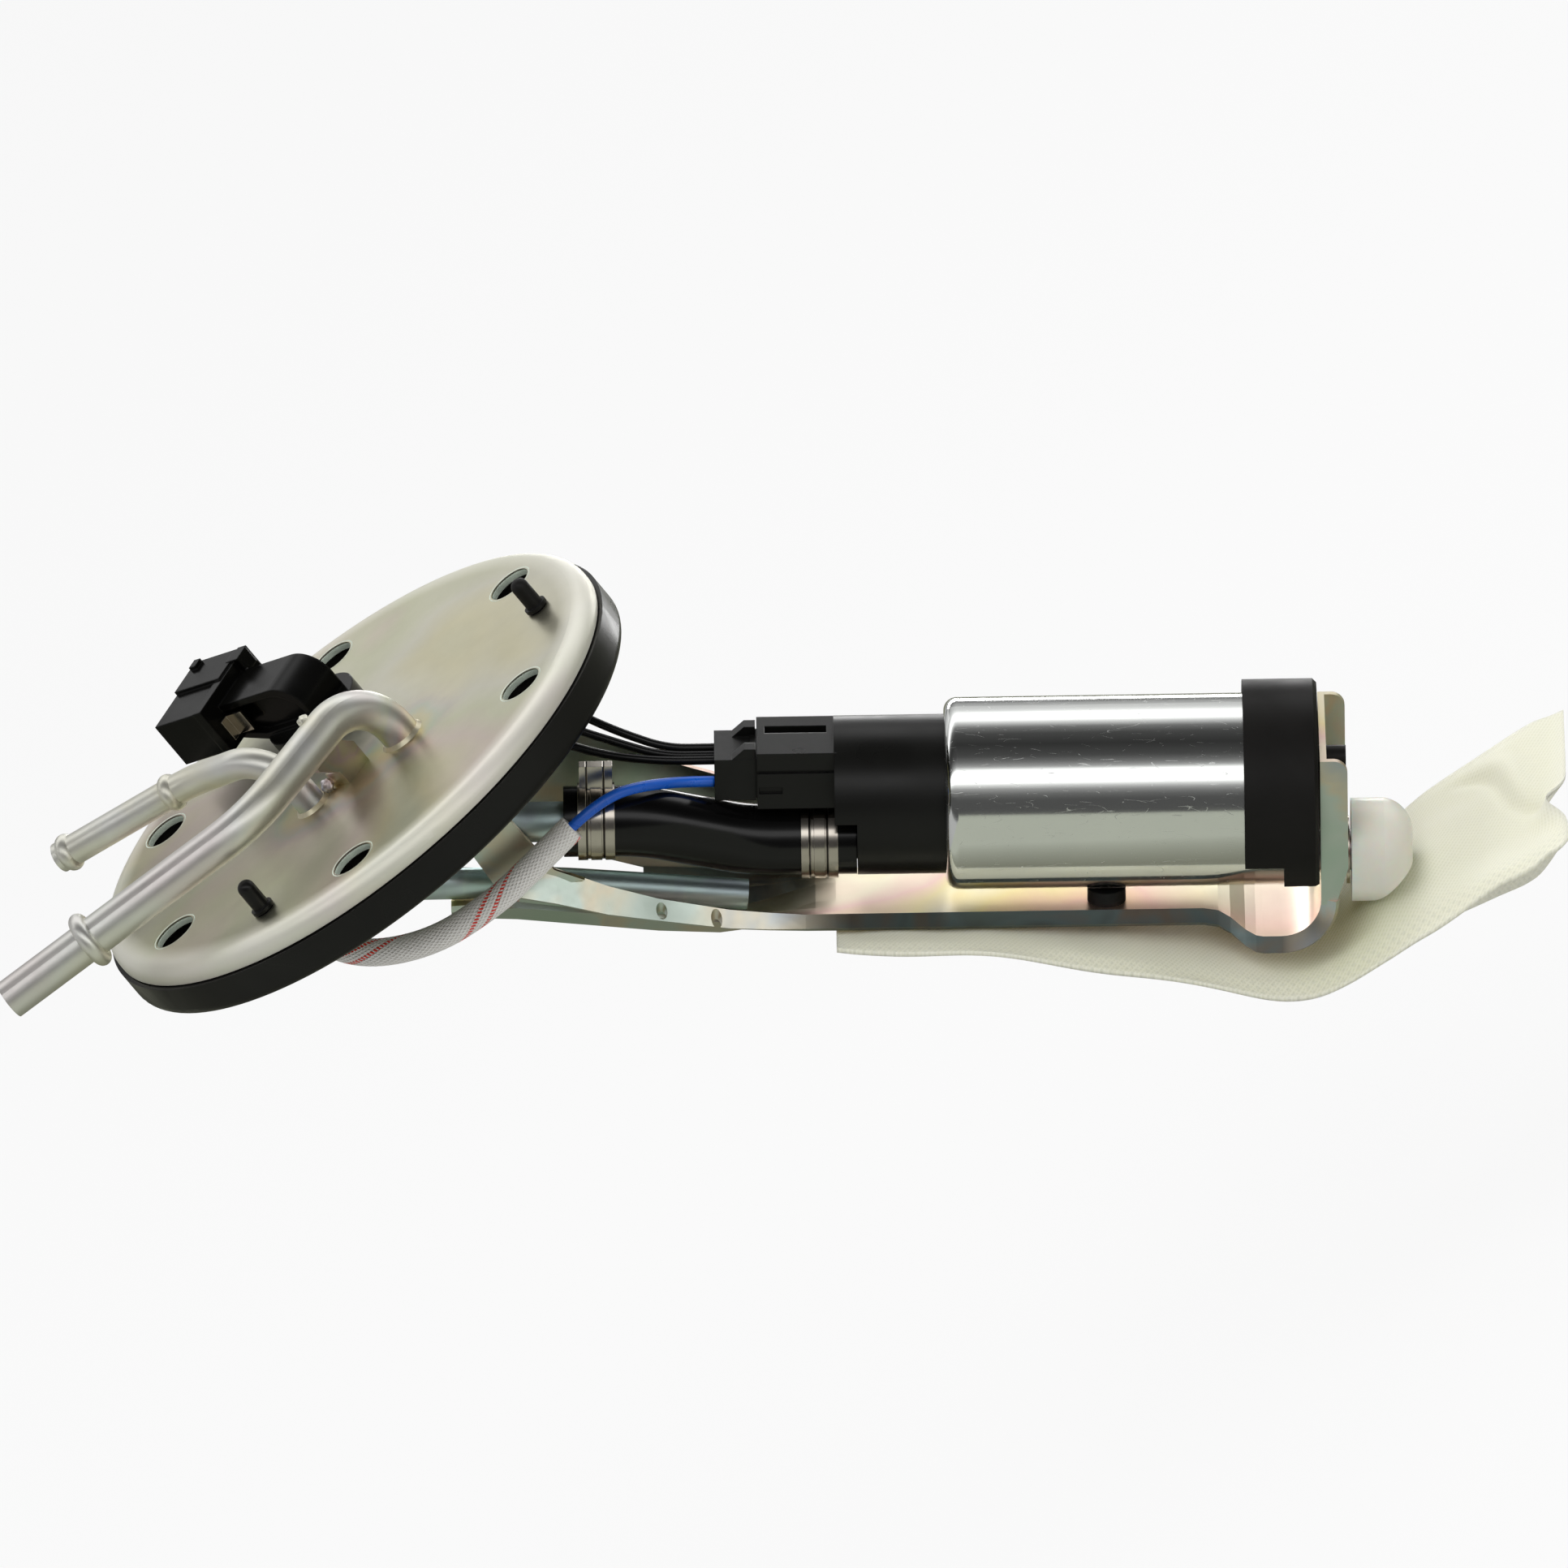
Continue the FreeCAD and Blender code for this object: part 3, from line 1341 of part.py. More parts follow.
def spring(radius, start, length, y, z):
    """A coil of square wire along the pump's axis."""
    wire = float(size.spring_wire)
    turns = float(size.spring_turns)
    travel = float(length) - 2 * wire
    helix = Part.makeHelix(travel / turns, travel, float(radius))
    half = wire / 2
    at = float(radius)
    corners = [point(at - half, 0, -half), point(at + half, 0, -half),
               point(at + half, 0, half), point(at - half, 0, half)]
    section = Part.makePolygon(corners + [corners[0]])
    coil = Part.Wire(helix.Edges).makePipeShell([section], True, True)
    place = FreeCAD.Placement(point(float(start) + wire, y, z), TURN_TO_X)
    return coil.transformed(place.toMatrix(), True)


def brushes():
    start = brush_start()
    for name, side in (("far", 1), ("near", -1)):
        brush = block(f"carbon_{name}", start, side * size.brush_offset - size.brush_width / 2,
                      -size.brush_height / 2, size.brush_length, size.brush_width,
                      size.brush_height)
        carried = doc.addObject("Part::Compound", f"brush_{name}_group")
        carried.Links = [brush]
        keep(carried, f"brush_{name}", PUMP_FRAME)
        shaped(f"brush_spring_{name}", spring(
            size.brush_width / 2 - size.spring_wire, start - size.brush_spring_length,
            size.brush_spring_length, side * size.brush_offset, 0))


def bearing(label, start):
    keep(turned(label, [
        (start, size.shaft_radius + size.shaft_fit),
        (start, size.bearing_radius),
        (start + size.bearing_length, size.bearing_radius),
        (start + size.bearing_length, size.shaft_radius + size.shaft_fit),
    ]), label, PUMP_FRAME)


# Turbine chamber: plate with the bearing, cover with the inlet port

def impeller_plate():
    face = size.impeller_start - size.impeller_gap
    ring = size.impeller_radius + size.impeller_gap
    rim_end = size.impeller_start + size.impeller_width + size.impeller_gap
    channel = size.impeller_radius - size.vane_land - size.vane_depth
    keep(turned("impeller_plate", [
        (size.chamber_start, size.bearing_radius),
        (size.chamber_start, size.bearing_radius + 3),
        (size.chamber_start + 3, size.bearing_radius + 3),
        (size.chamber_start + 3, size.chamber_radius),
        (rim_end, size.chamber_radius),
        (rim_end, ring),
        (face, ring),
        (face, channel + size.channel_width),
        (face - size.channel_depth, channel + size.channel_width),
        (face - size.channel_depth, channel),
        (face, channel),
        (face, size.shaft_radius + 0.6),
        (size.chamber_start + size.bearing_length, size.shaft_radius + 0.6),
        (size.chamber_start + size.bearing_length, size.bearing_radius),
    ]), "impeller_plate", PUMP_FRAME)


def inlet_cover():
    start = size.impeller_start + size.impeller_width + size.impeller_gap
    end = size.case_end - size.case_wall
    channel = size.impeller_radius - size.vane_land - size.vane_depth
    cover = turned("cover_blank", [
        (start, size.shaft_radius + 1),
        (start, channel),
        (start + size.channel_depth, channel),
        (start + size.channel_depth, channel + size.channel_width),
        (start, channel + size.channel_width),
        (start, size.chamber_radius),
        (end, size.chamber_radius),
        (end, 0.0),
        (start + 3, 0.0),
        (start + 3, size.shaft_radius + 1),
    ], ROW_FRAME)
    port = disc("inlet_port", size.inlet_radius, end - 1, size.inlet_end - end + 1,
                size.inlet_y, size.inlet_z)
    bore = disc("inlet_bore_hole", size.inlet_bore, start + size.channel_depth / 2,
                size.inlet_end - start + 1, size.inlet_y, size.inlet_z)
    keep(less("inlet_cover", fused("cover_solid", [cover, port]), [bore]), "inlet_cover",
         PUMP_FRAME)


# Valves in the outlet cap

def valves():
    head = disc("check_head_disc", size.check_head,
                size.valve_end - size.check_head_depth - 0.1, size.check_head_depth,
                size.nipple_y, size.nipple_z)
    stem = disc("check_stem_rod", size.check_stem, size.valve_end - size.check_length,
                size.check_length - 0.5, size.nipple_y, size.nipple_z)
    keep(fused("check_valve", [head, stem]), "check_valve", PUMP_FRAME)
    spring_start = size.valve_start + 0.3
    spring_length = size.valve_end - size.check_head_depth - 0.4 - spring_start
    shaped("check_spring", spring(size.check_head - 0.9, spring_start, spring_length,
                                  size.nipple_y, size.nipple_z))
    seat_start = size.cap_floor - size.relief_seat_depth
    seat = less("relief_seat", disc("relief_seat_ring", size.relief_bore, seat_start,
                                    size.relief_seat_depth, size.relief_y, size.relief_z),
                [disc("relief_seat_hole", size.relief_seat_bore, seat_start - 1,
                      size.relief_seat_depth + 2, size.relief_y, size.relief_z)])
    keep(seat, "relief_seat", PUMP_FRAME)
    ball = doc.addObject("Part::Sphere", "relief_ball_sphere")
    bind(ball, "Radius", size.relief_ball)
    centre = seat_start - size.relief_ball_back
    put(ball, centre, size.relief_y, size.relief_z)
    carried = doc.addObject("Part::Compound", "relief_ball_group")
    carried.Links = [ball]
    keep(carried, "relief_valve", PUMP_FRAME)
    relief_start = size.relief_start + 0.3
    relief_length = centre - size.relief_ball - 0.3 - relief_start
    shaped("relief_spring", spring(size.relief_bore - 0.9, relief_start, relief_length,
                                   size.relief_y, size.relief_z))


# Rubber and strainer pieces

def isolator():
    """The rubber cup on the can's inlet end, open below, with its peg."""
    bore = size.case_radius + size.isolator_fit
    outer = bore + size.isolator_wall
    floor = size.case_end + size.isolator_fit
    cup = turned("isolator_cup", [
        (size.isolator_start, bore),
        (size.isolator_start, outer),
        (size.isolator_end - size.isolator_bevel, outer),
        (size.isolator_end, outer - size.isolator_bevel),
        (size.isolator_end, 0.0),
        (floor, 0.0),
        (floor, bore),
    ], ROW_FRAME)
    peg = disc("isolator_peg", size.peg_radius, size.isolator_end - 0.5,
               size.peg_end - size.isolator_end + 0.5, size.peg_y, size.peg_z)
    first = size.isolator_notch_end - size.isolator_start + 1
    side_notch = block("isolator_side_notch", size.isolator_start - 1, -outer - 1, -outer - 1,
                       first, 2 * outer + 2, outer + 1 - size.isolator_side_cut)
    end_notch = block("isolator_end_notch", size.isolator_start, -outer - 1, -outer - 1,
                      20.0, 2 * outer + 2, outer + 1 - size.isolator_end_cut)
    port = disc("isolator_port_hole", size.inlet_radius + size.isolator_fit, floor - 1, 5.0,
                size.inlet_y, size.inlet_z)
    keep(less("isolator", fused("isolator_solid", [cup, peg]), [side_notch, end_notch, port]),
         "isolator", PUMP_FRAME)


def bumper():
    """A rubber button snapped in the web, its head just under the can."""
    web = size.web_height
    case_drop = size.case_radius - 0.85
    head = post("bumper_head", size.bumper_radius, size.bumper_place, size.bumper_y,
                web, -web - case_drop)
    stem = post("bumper_stem_post", size.bumper_stem, size.bumper_place, size.bumper_y,
                web - size.bracket_sheet - 0.4, size.bracket_sheet + 0.6)
    tail = post("bumper_tail", size.bumper_cap, size.bumper_place, size.bumper_y,
                web - size.bracket_sheet - size.bumper_cap_depth - 0.1, size.bumper_cap_depth)
    room = disc("bumper_room", size.case_radius + size.bumper_fit, size.bumper_place - 10, 20.0)
    keep(less("bumper", fused("bumper_solid", [head, stem, tail]), [room]), "bumper",
         PUMP_FRAME)


def strainer_washer():
    """The push-on ring that holds the strainer's neck on the inlet port."""
    ring = disc("washer_ring", size.washer_radius, size.washer_start, size.washer_sheet,
                size.inlet_y, size.inlet_z)
    bore = disc("washer_bore", size.inlet_radius, size.washer_start - 1, 3.0,
                size.inlet_y, size.inlet_z)
    keep(less("strainer_washer", ring, [bore]), "strainer_washer", PUMP_FRAME)


def strainer_neck():
    """The moulded nylon neck: a round socket for the port with a domed end on the sock."""
    start, end = float(size.neck_start), float(size.neck_end)
    radius = float(size.neck_radius)
    crown = radius * 0.42
    waist = end - 0.55 * radius
    middle = point(end - 0.17 * radius, 0, radius * 0.8)
    edges = [
        Part.LineSegment(point(start, 0, 0), point(start, 0, radius)),
        Part.LineSegment(point(start, 0, radius), point(waist, 0, radius)),
        Part.Arc(point(waist, 0, radius), middle, point(end, 0, crown)),
        Part.LineSegment(point(end, 0, crown), point(end, 0, 0)),
        Part.LineSegment(point(end, 0, 0), point(start, 0, 0)),
    ]
    face = Part.Face(Part.Wire([edge.toShape() for edge in edges]))
    barrel = face.revolve(ORIGIN, X_AXIS, 360)
    barrel.translate(point(0, size.inlet_y, size.inlet_z))
    bore = Part.makeCylinder(float(size.inlet_radius + size.neck_fit),
                             float(size.inlet_end) + 1 - start + 1,
                             point(start - 1, size.inlet_y, size.inlet_z), X_AXIS)
    slant = Part.makeBox(60, 60, 30, point(-20, -30, -30))
    slant.rotate(ORIGIN, Y_AXIS, -float(size.neck_slant))
    slant.translate(point(start + 3.4, 0, size.inlet_z - size.neck_radius))
    shaped("strainer_neck", barrel.cut(bore).cut(slant))


SOCK_STATIONS = [
    # place, height, thickness, tilt in degrees and half width
    (97.0, -26.15, 2.2, -5.0, 20.8),
    (108.0, -26.45, 3.0, -5.0, 20.8),
    (125.0, -26.9, 4.2, -3.5, 21.0),
    (140.0, -27.9, 5.2, -1.5, 21.2),
    (155.0, -29.5, 5.8, 1.0, 21.6),
    (173.0, -32.3, 6.2, 3.0, 22.0),
    (184.0, -33.3, 6.4, 4.5, 22.5),
    (191.5, -32.5, 6.4, 5.5, 22.5),
    (198.0, -29.7, 6.4, 6.5, 22.5),
    (205.6, -24.2, 6.2, 9.0, 22.5),
    (214.5, -16.8, 5.2, 12.5, 22.5),
    (227.4, -8.6, 4.2, 17.0, 22.5),
    (235.0, -4.3, 3.0, 18.0, 22.5),
    (241.9, 1.9, 1.6, 8.5, 22.5),
]


def sock_row(station, upper):
    """Points across one side of the bag at a station, thin at both sealed edges."""
    place, height, thickness, tilt, half = station
    edge = float(size.sock_edge) / 2
    lean = math.radians(tilt)
    points = []
    for step in range(-4, 5):
        across = half * step / 4
        rise = edge + (thickness / 2 - edge) * math.cos(math.pi * step / 8)
        up = rise if upper else -rise
        y = across * math.cos(lean) - up * math.sin(lean)
        z = across * math.sin(lean) + up * math.cos(lean)
        points.append(point(place, y, height + z))
    return points


def strainer_sock():
    """The mesh bag: it lies under the bracket, turns up past its end and rises to a wing."""
    faces = []
    sides = []
    for upper in (True, False):
        surface = Part.BSplineSurface()
        surface.interpolate([sock_row(station, upper) for station in SOCK_STATIONS])
        sides.append(surface)
        faces.append(surface.toShape())
    top, bottom = sides
    for pick in ("uIso", "vIso"):
        for end in (0.0, 1.0):
            curves = []
            for surface in (top, bottom):
                low_u, high_u, low_v, high_v = surface.bounds()
                low, high = (low_u, high_u) if pick == "uIso" else (low_v, high_v)
                curve = getattr(surface, pick)(low + (high - low) * end)
                curves.append(curve.toShape())
            faces.append(Part.makeRuledSurface(curves[0], curves[1]))
    shell = Part.makeShell(faces)
    shell.sewShape()
    solid = Part.makeSolid(Part.Shell(shell.Faces))
    if solid.Volume < 0:
        solid.reverse()
    print("sock volume", round(solid.Volume))
    shaped("strainer_sock", solid)


# Leads, each held at both ends

def limp_radii(points, share=0.45):
    """The largest tangent arc each corner's two runs allow."""
    radii = []
    for index in range(1, len(points) - 1):
        back = points[index - 1] - points[index]
        ahead = points[index + 1] - points[index]
        turn = math.pi - back.getAngle(ahead)
        shorter = min(back.Length, ahead.Length)
        radii.append(share * shorter / math.tan(turn / 2))
    return radii


def lead(label, radius, places):
    points = [PUMP_FRAME.multVec(place) if frame == "pump" else place
              for frame, place in places]
    radii = limp_radii(points)
    path = rounded_path(points, radii)
    shape = swept(path, radius)
    expected = math.pi * float(radius) ** 2 * path.Length
    print(label, "length", round(path.Length, 1), "radii", [round(r, 1) for r in radii],
          "volume share", round(shape.Volume / expected, 4))
    shaped(label, shape, ROW_FRAME)
    return path


def leads():
    """Three black leads and a blue one, from the connector's neck to the plug."""
    drop = -float(size.connector_drop)
    rear = float(size.plug_start)
    x = float(size.connector_x)
    y = float(size.connector_y)
    black = float(size.lead_radius)
    lead("lead_black_1", black, [
        ("row", point(x + 4.0, y - 1.0, drop)),
        ("row", point(x + 4.0, y - 1.0, drop - 5.0)),
        ("row", point(x + 11.0, y - 2.4, -13.6)),
        ("row", point(22.0, 17.0, -13.4)),
        ("pump", point(42.0, 12.0, 15.4)),
        ("pump", point(54.0, 8.0, 11.0)),
        ("pump", point(64.0, 6.0, 8.0)),
        ("pump", point(rear, 6.0, 8.0)),
    ])
    lead("lead_black_2", black, [
        ("row", point(x + 1.0, y - 4.4, drop)),
        ("row", point(x + 1.0, y - 4.4, drop - 6.0)),
        ("row", point(-1.0, 9.2, -14.0)),
        ("row", point(9.0, 7.4, -15.0)),
        ("row", point(20.0, 7.9, -16.6)),
        ("pump", point(41.0, 8.0, 13.4)),
        ("pump", point(53.0, 6.4, 9.6)),
        ("pump", point(63.0, 4.2, 7.2)),
        ("pump", point(rear, 4.2, 7.2)),
    ])
    lead("lead_black_3", black, [
        ("row", point(x - 2.0, y - 4.2, drop)),
        ("row", point(x - 2.0, y - 4.2, drop - 7.0)),
        ("row", point(-3.0, 6.8, -16.6)),
        ("row", point(9.0, 4.6, -18.0)),
        ("row", point(19.0, 5.3, -20.4)),
        ("pump", point(40.0, 5.6, 10.8)),
        ("pump", point(52.0, 3.8, 7.6)),
        ("pump", point(63.0, 2.4, 6.9)),
        ("pump", point(rear, 2.4, 6.9)),
    ])
    lead("lead_blue", size.blue_radius, [
        ("row", point(x - 3.6, y - 2.0, drop)),
        ("row", point(x - 3.6, y - 2.0, drop - 6.0)),
        ("row", point(-22.0, 8.0, -17.0)),
        ("row", point(-27.0, -5.6, -24.0)),
        ("pump", point(2.0, -17.0, -27.6)),
        ("pump", point(16.0, -21.4, -23.6)),
        ("pump", point(29.0, -22.6, -14.8)),
        ("pump", point(38.0, -21.6, -5.4)),
        ("pump", point(46.0, -19.4, 4.0)),
        ("pump", point(53.0, -15.4, 8.0)),
        ("pump", point(58.5, -12.9, 8.7)),
        ("pump", point(67.5, -4.6, 5.6)),
        ("pump", point(rear, -4.6, 5.6)),
    ])


def sleeve():
    """The braided sleeve round the blue lead, from under the plate to the hose clamp."""
    run = [
        point(-22.0, 8.0, -17.0),
        point(-27.0, -5.6, -24.0),
        to_row(2.0, -17.0, -27.6),
        to_row(16.0, -21.4, -23.6),
        to_row(29.0, -22.6, -14.8),
        to_row(38.0, -21.6, -5.4),
        to_row(46.0, -19.4, 4.0),
    ]
    radii = limp_radii(run)
    points = [(run[0] + run[1]) * 0.5] + run[1:-1] + [to_row(44.5, -19.8, 2.25)]
    path = rounded_path(points, radii)
    bore = size.blue_radius + size.sleeve_bore_fit
    print("sleeve", "length", round(path.Length, 1), "radii", [round(r, 1) for r in radii])
    shaped("sleeve", pipe(path, size.sleeve_radius, bore), ROW_FRAME)


def build():
    flange_plate()
    flange_gasket()
    feed_tube()
    return_tube()
    braze("feed_braze", size.feed_hole_x, size.feed_hole_y, size.feed_radius)
    braze("return_braze", size.return_hole_x, size.return_hole_y, size.return_radius)
    tube_stay()
    connector_body()
    connector_seal()
    connector_pins()
    connector_clip()
    bracket()
    pump_case()
    outlet_cap()
    pump_terminals()
    hose()
    hose_clamp("hose_clamp_upper", size.clamp_upper_start, size.feed_hole_y,
               size.feed_axis_height, True)
    hose_clamp("hose_clamp_lower", size.clamp_lower_start, size.nipple_y, size.nipple_z, False)
    plug()
    rotor()
    impeller()
    magnets()
    brushes()
    bearing("bearing_outlet", size.bearing_outlet_start)
    bearing("bearing_inlet", size.chamber_start)
    impeller_plate()
    inlet_cover()
    valves()
    isolator()
    bumper()
    strainer_washer()
    strainer_neck()
    strainer_sock()
    leads()
    sleeve()


def export():
    doc.recompute()
    for item in doc.Objects:
        if "Invalid" in item.State or "Error" in item.State:
            raise RuntimeError(f"{item.Label} did not build: {item.State}")
    for part in parts:
        if part.Shape.isNull() or not part.Shape.isValid() or not part.Shape.Solids:
            raise RuntimeError(f"{part.Label} has no valid solid")
    os.makedirs("parts", exist_ok=True)
    for part in parts:
        part.Shape.exportStep(f"parts/{part.Label}.step")
    print(len(parts), "parts")


build()
export()
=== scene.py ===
import json
import math

import bmesh
import bpy
from mathutils import Matrix, Vector, noise


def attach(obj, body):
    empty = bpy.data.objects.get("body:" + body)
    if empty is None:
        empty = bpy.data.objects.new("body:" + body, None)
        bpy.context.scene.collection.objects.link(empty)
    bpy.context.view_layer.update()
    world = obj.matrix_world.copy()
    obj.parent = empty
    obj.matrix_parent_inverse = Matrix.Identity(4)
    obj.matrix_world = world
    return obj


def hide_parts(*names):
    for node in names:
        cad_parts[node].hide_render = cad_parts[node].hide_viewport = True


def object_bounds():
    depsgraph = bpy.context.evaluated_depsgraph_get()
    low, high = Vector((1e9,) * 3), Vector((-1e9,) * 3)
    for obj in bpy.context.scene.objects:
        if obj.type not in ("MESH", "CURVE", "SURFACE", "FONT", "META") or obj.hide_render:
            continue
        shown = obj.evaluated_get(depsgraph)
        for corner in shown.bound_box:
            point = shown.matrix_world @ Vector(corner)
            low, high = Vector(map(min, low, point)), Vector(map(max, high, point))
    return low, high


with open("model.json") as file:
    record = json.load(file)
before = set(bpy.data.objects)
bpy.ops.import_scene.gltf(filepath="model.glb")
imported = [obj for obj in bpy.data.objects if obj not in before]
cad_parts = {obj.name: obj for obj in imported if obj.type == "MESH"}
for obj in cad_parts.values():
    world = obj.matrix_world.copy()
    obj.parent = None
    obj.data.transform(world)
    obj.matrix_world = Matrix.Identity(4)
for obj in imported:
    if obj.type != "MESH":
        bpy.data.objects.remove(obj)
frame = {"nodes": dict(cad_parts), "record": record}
CAD_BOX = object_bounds()
NODES = frame["nodes"]
MM = 0.001

# The pump's own frame: X along its axis, Z away from the bracket's web, in millimetres
PUMP_TILT = math.radians(36.34)
PUMP_OFFSET = 9.9
PUMP_FRAME = Matrix.Rotation(PUMP_TILT, 4, "Y") @ Matrix.Translation((0, 0, -PUMP_OFFSET))
PUMP_AXIS = (math.cos(PUMP_TILT), 0.0, -math.sin(PUMP_TILT))


def row(x, y, z):
    """A place on the part's own axes, given in millimetres."""
    return Vector((x, y, z)) * MM


def pump(x, y, z):
    """A place on the pump's axes, given in millimetres."""
    return (PUMP_FRAME @ Vector((x, y, z))) * MM


# Camera and light. The camera's axes and the photo's width and centre come from the photo; they
# are in metres at the part's origin, and the camera stands far off, as the photo is nearly flat.

CAMERA_RIGHT = Vector((0.797, -0.0068, -0.604)).normalized()
CAMERA_UP = Vector((0.548, 0.431, 0.7176))
CAMERA_DISTANCE = 9.0
PHOTO_WIDTH = 0.3096
PHOTO_CENTRE = (0.0872, -0.0052)
SENSOR_WIDTH = 36.0
VIEW_END = 50.0


def make_camera():
    back = CAMERA_RIGHT.cross(CAMERA_UP).normalized()
    up = back.cross(CAMERA_RIGHT)
    target = CAMERA_RIGHT * PHOTO_CENTRE[0] + up * PHOTO_CENTRE[1]
    place = target + back * CAMERA_DISTANCE
    data = bpy.data.cameras.new("Camera")
    data.sensor_width = SENSOR_WIDTH
    data.lens = SENSOR_WIDTH * CAMERA_DISTANCE / PHOTO_WIDTH
    data.clip_end = VIEW_END
    camera = bpy.data.objects.new("Camera", data)
    bpy.context.collection.objects.link(camera)
    turn = Matrix((CAMERA_RIGHT, up, back)).transposed().to_4x4()
    camera.matrix_world = Matrix.Translation(place) @ turn
    bpy.context.scene.camera = camera
    return target, back, up


TARGET, BACK, UP = make_camera()


def area_light(name, direction, distance, size, power):
    """A soft lamp aimed at the middle of the view, which mirrors don't show."""
    data = bpy.data.lights.new(name, "AREA")
    data.shape = "RECTANGLE"
    data.size, data.size_y = size
    data.energy = power
    light = bpy.data.objects.new(name, data)
    bpy.context.collection.objects.link(light)
    aim = direction.normalized()
    light.location = TARGET + aim * distance
    light.rotation_euler = aim.to_track_quat("Z", "Y").to_euler()
    light.visible_glossy = False
    light.visible_camera = False
    return light


def mirror_panel(name, spot, away, distance, size, power):
    """A panel that only mirrors show, at a distance from the spot that it brightens."""
    panel = area_light(name, BACK, 1.0, size, power)
    panel.location = spot + away * distance
    panel.visible_glossy = True
    panel.visible_diffuse = False
    return panel


def make_lights():
    area_light("key", UP * 1.0 + BACK * 0.55 - CAMERA_RIGHT * 0.3, 1.1, (1.3, 0.5), 8.0)
    area_light("fill", BACK * 1.0 - UP * 0.35 + CAMERA_RIGHT * 0.5, 1.5, (1.2, 0.7), 7.5)
    area_light("side", -CAMERA_RIGHT * 1.0 + BACK * 0.5 + UP * 0.5, 1.3, (0.6, 0.9), 5.5)
    away = Vector((-0.256, 0.903, 0.347)).normalized()
    panel = mirror_panel("plate_panel", row(30, 8, 0), away, 0.26, (0.12, 0.12), 0.021)
    panel.rotation_euler = away.to_track_quat("Z", "Y").to_euler()
    away = (pump(0, 1, 0.17) - pump(0, 0, 0)).normalized()
    panel = mirror_panel("web_panel", pump(128, 0, -24), away, 0.30, (0.26, 0.05), 0.25)
    turn = Matrix((CAMERA_RIGHT, away.cross(CAMERA_RIGHT).normalized(), away)).transposed()
    panel.rotation_euler = turn.to_euler()


# The studio as the object sees it: brightness by the angle in degrees round the camera's level
# axis, from behind the object at -180, through below, the camera at 0 and above, to 180
STUDIO_PEAK = 2.0
STUDIO = [
    (-180, 0.50), (-130, 0.40), (-60, 0.48), (-38, 0.48), (-33, 0.17), (-28, 0.085), (-9, 0.085),
    (-2, 0.15), (4, 0.34), (9, 0.84), (12, 1.70), (26, 1.70), (30, 0.42), (36, 0.18), (44, 0.07),
    (60, 0.035), (76, 0.07), (86, 0.20), (94, 0.80), (99, 1.60), (111, 1.60), (116, 0.95),
    (124, 0.66), (133, 0.52), (141, 0.22), (156, 0.22), (166, 0.45), (180, 0.50),
]


def make_world():
    """White to the camera, and the banded studio to everything else."""
    world = bpy.data.worlds.new("World")
    bpy.context.scene.world = world
    world.use_nodes = True
    tree = world.node_tree
    tree.nodes.clear()
    new = tree.nodes.new
    join = tree.links.new
    place = new("ShaderNodeTexCoord").outputs["Generated"]
    shares = []
    for way in (UP, BACK):
        dot = new("ShaderNodeVectorMath")
        dot.operation = "DOT_PRODUCT"
        join(place, dot.inputs[0])
        dot.inputs[1].default_value = way
        shares.append(dot.outputs["Value"])
    angle = new("ShaderNodeMath")
    angle.operation = "ARCTAN2"
    join(shares[0], angle.inputs[0])
    join(shares[1], angle.inputs[1])
    turn = new("ShaderNodeMapRange")
    join(angle.outputs[0], turn.inputs[0])
    for index, amount in enumerate((-math.pi, math.pi, 0.0, 1.0), start=1):
        turn.inputs[index].default_value = amount
    ramp = new("ShaderNodeValToRGB")
    join(turn.outputs[0], ramp.inputs[0])
    stops = ramp.color_ramp.elements
    while len(stops) < len(STUDIO):
        stops.new(0.5)
    for stop, (degrees, value) in zip(stops, STUDIO):
        stop.position = (degrees + 180) / 360
        grey = value / STUDIO_PEAK
        stop.color = (grey, grey, grey, 1)
    studio = new("ShaderNodeBackground")
    join(ramp.outputs[0], studio.inputs["Color"])
    studio.inputs["Strength"].default_value = STUDIO_PEAK
    shown = new("ShaderNodeBackground")
    shown.inputs["Color"].default_value = (1, 1, 1, 1)
    shown.inputs["Strength"].default_value = 1.0
    path = new("ShaderNodeLightPath")
    mix = new("ShaderNodeMixShader")
    output = new("ShaderNodeOutputWorld")
    join(path.outputs["Is Camera Ray"], mix.inputs[0])
    join(studio.outputs[0], mix.inputs[1])
    join(shown.outputs[0], mix.inputs[2])
    join(mix.outputs[0], output.inputs["Surface"])


# Materials

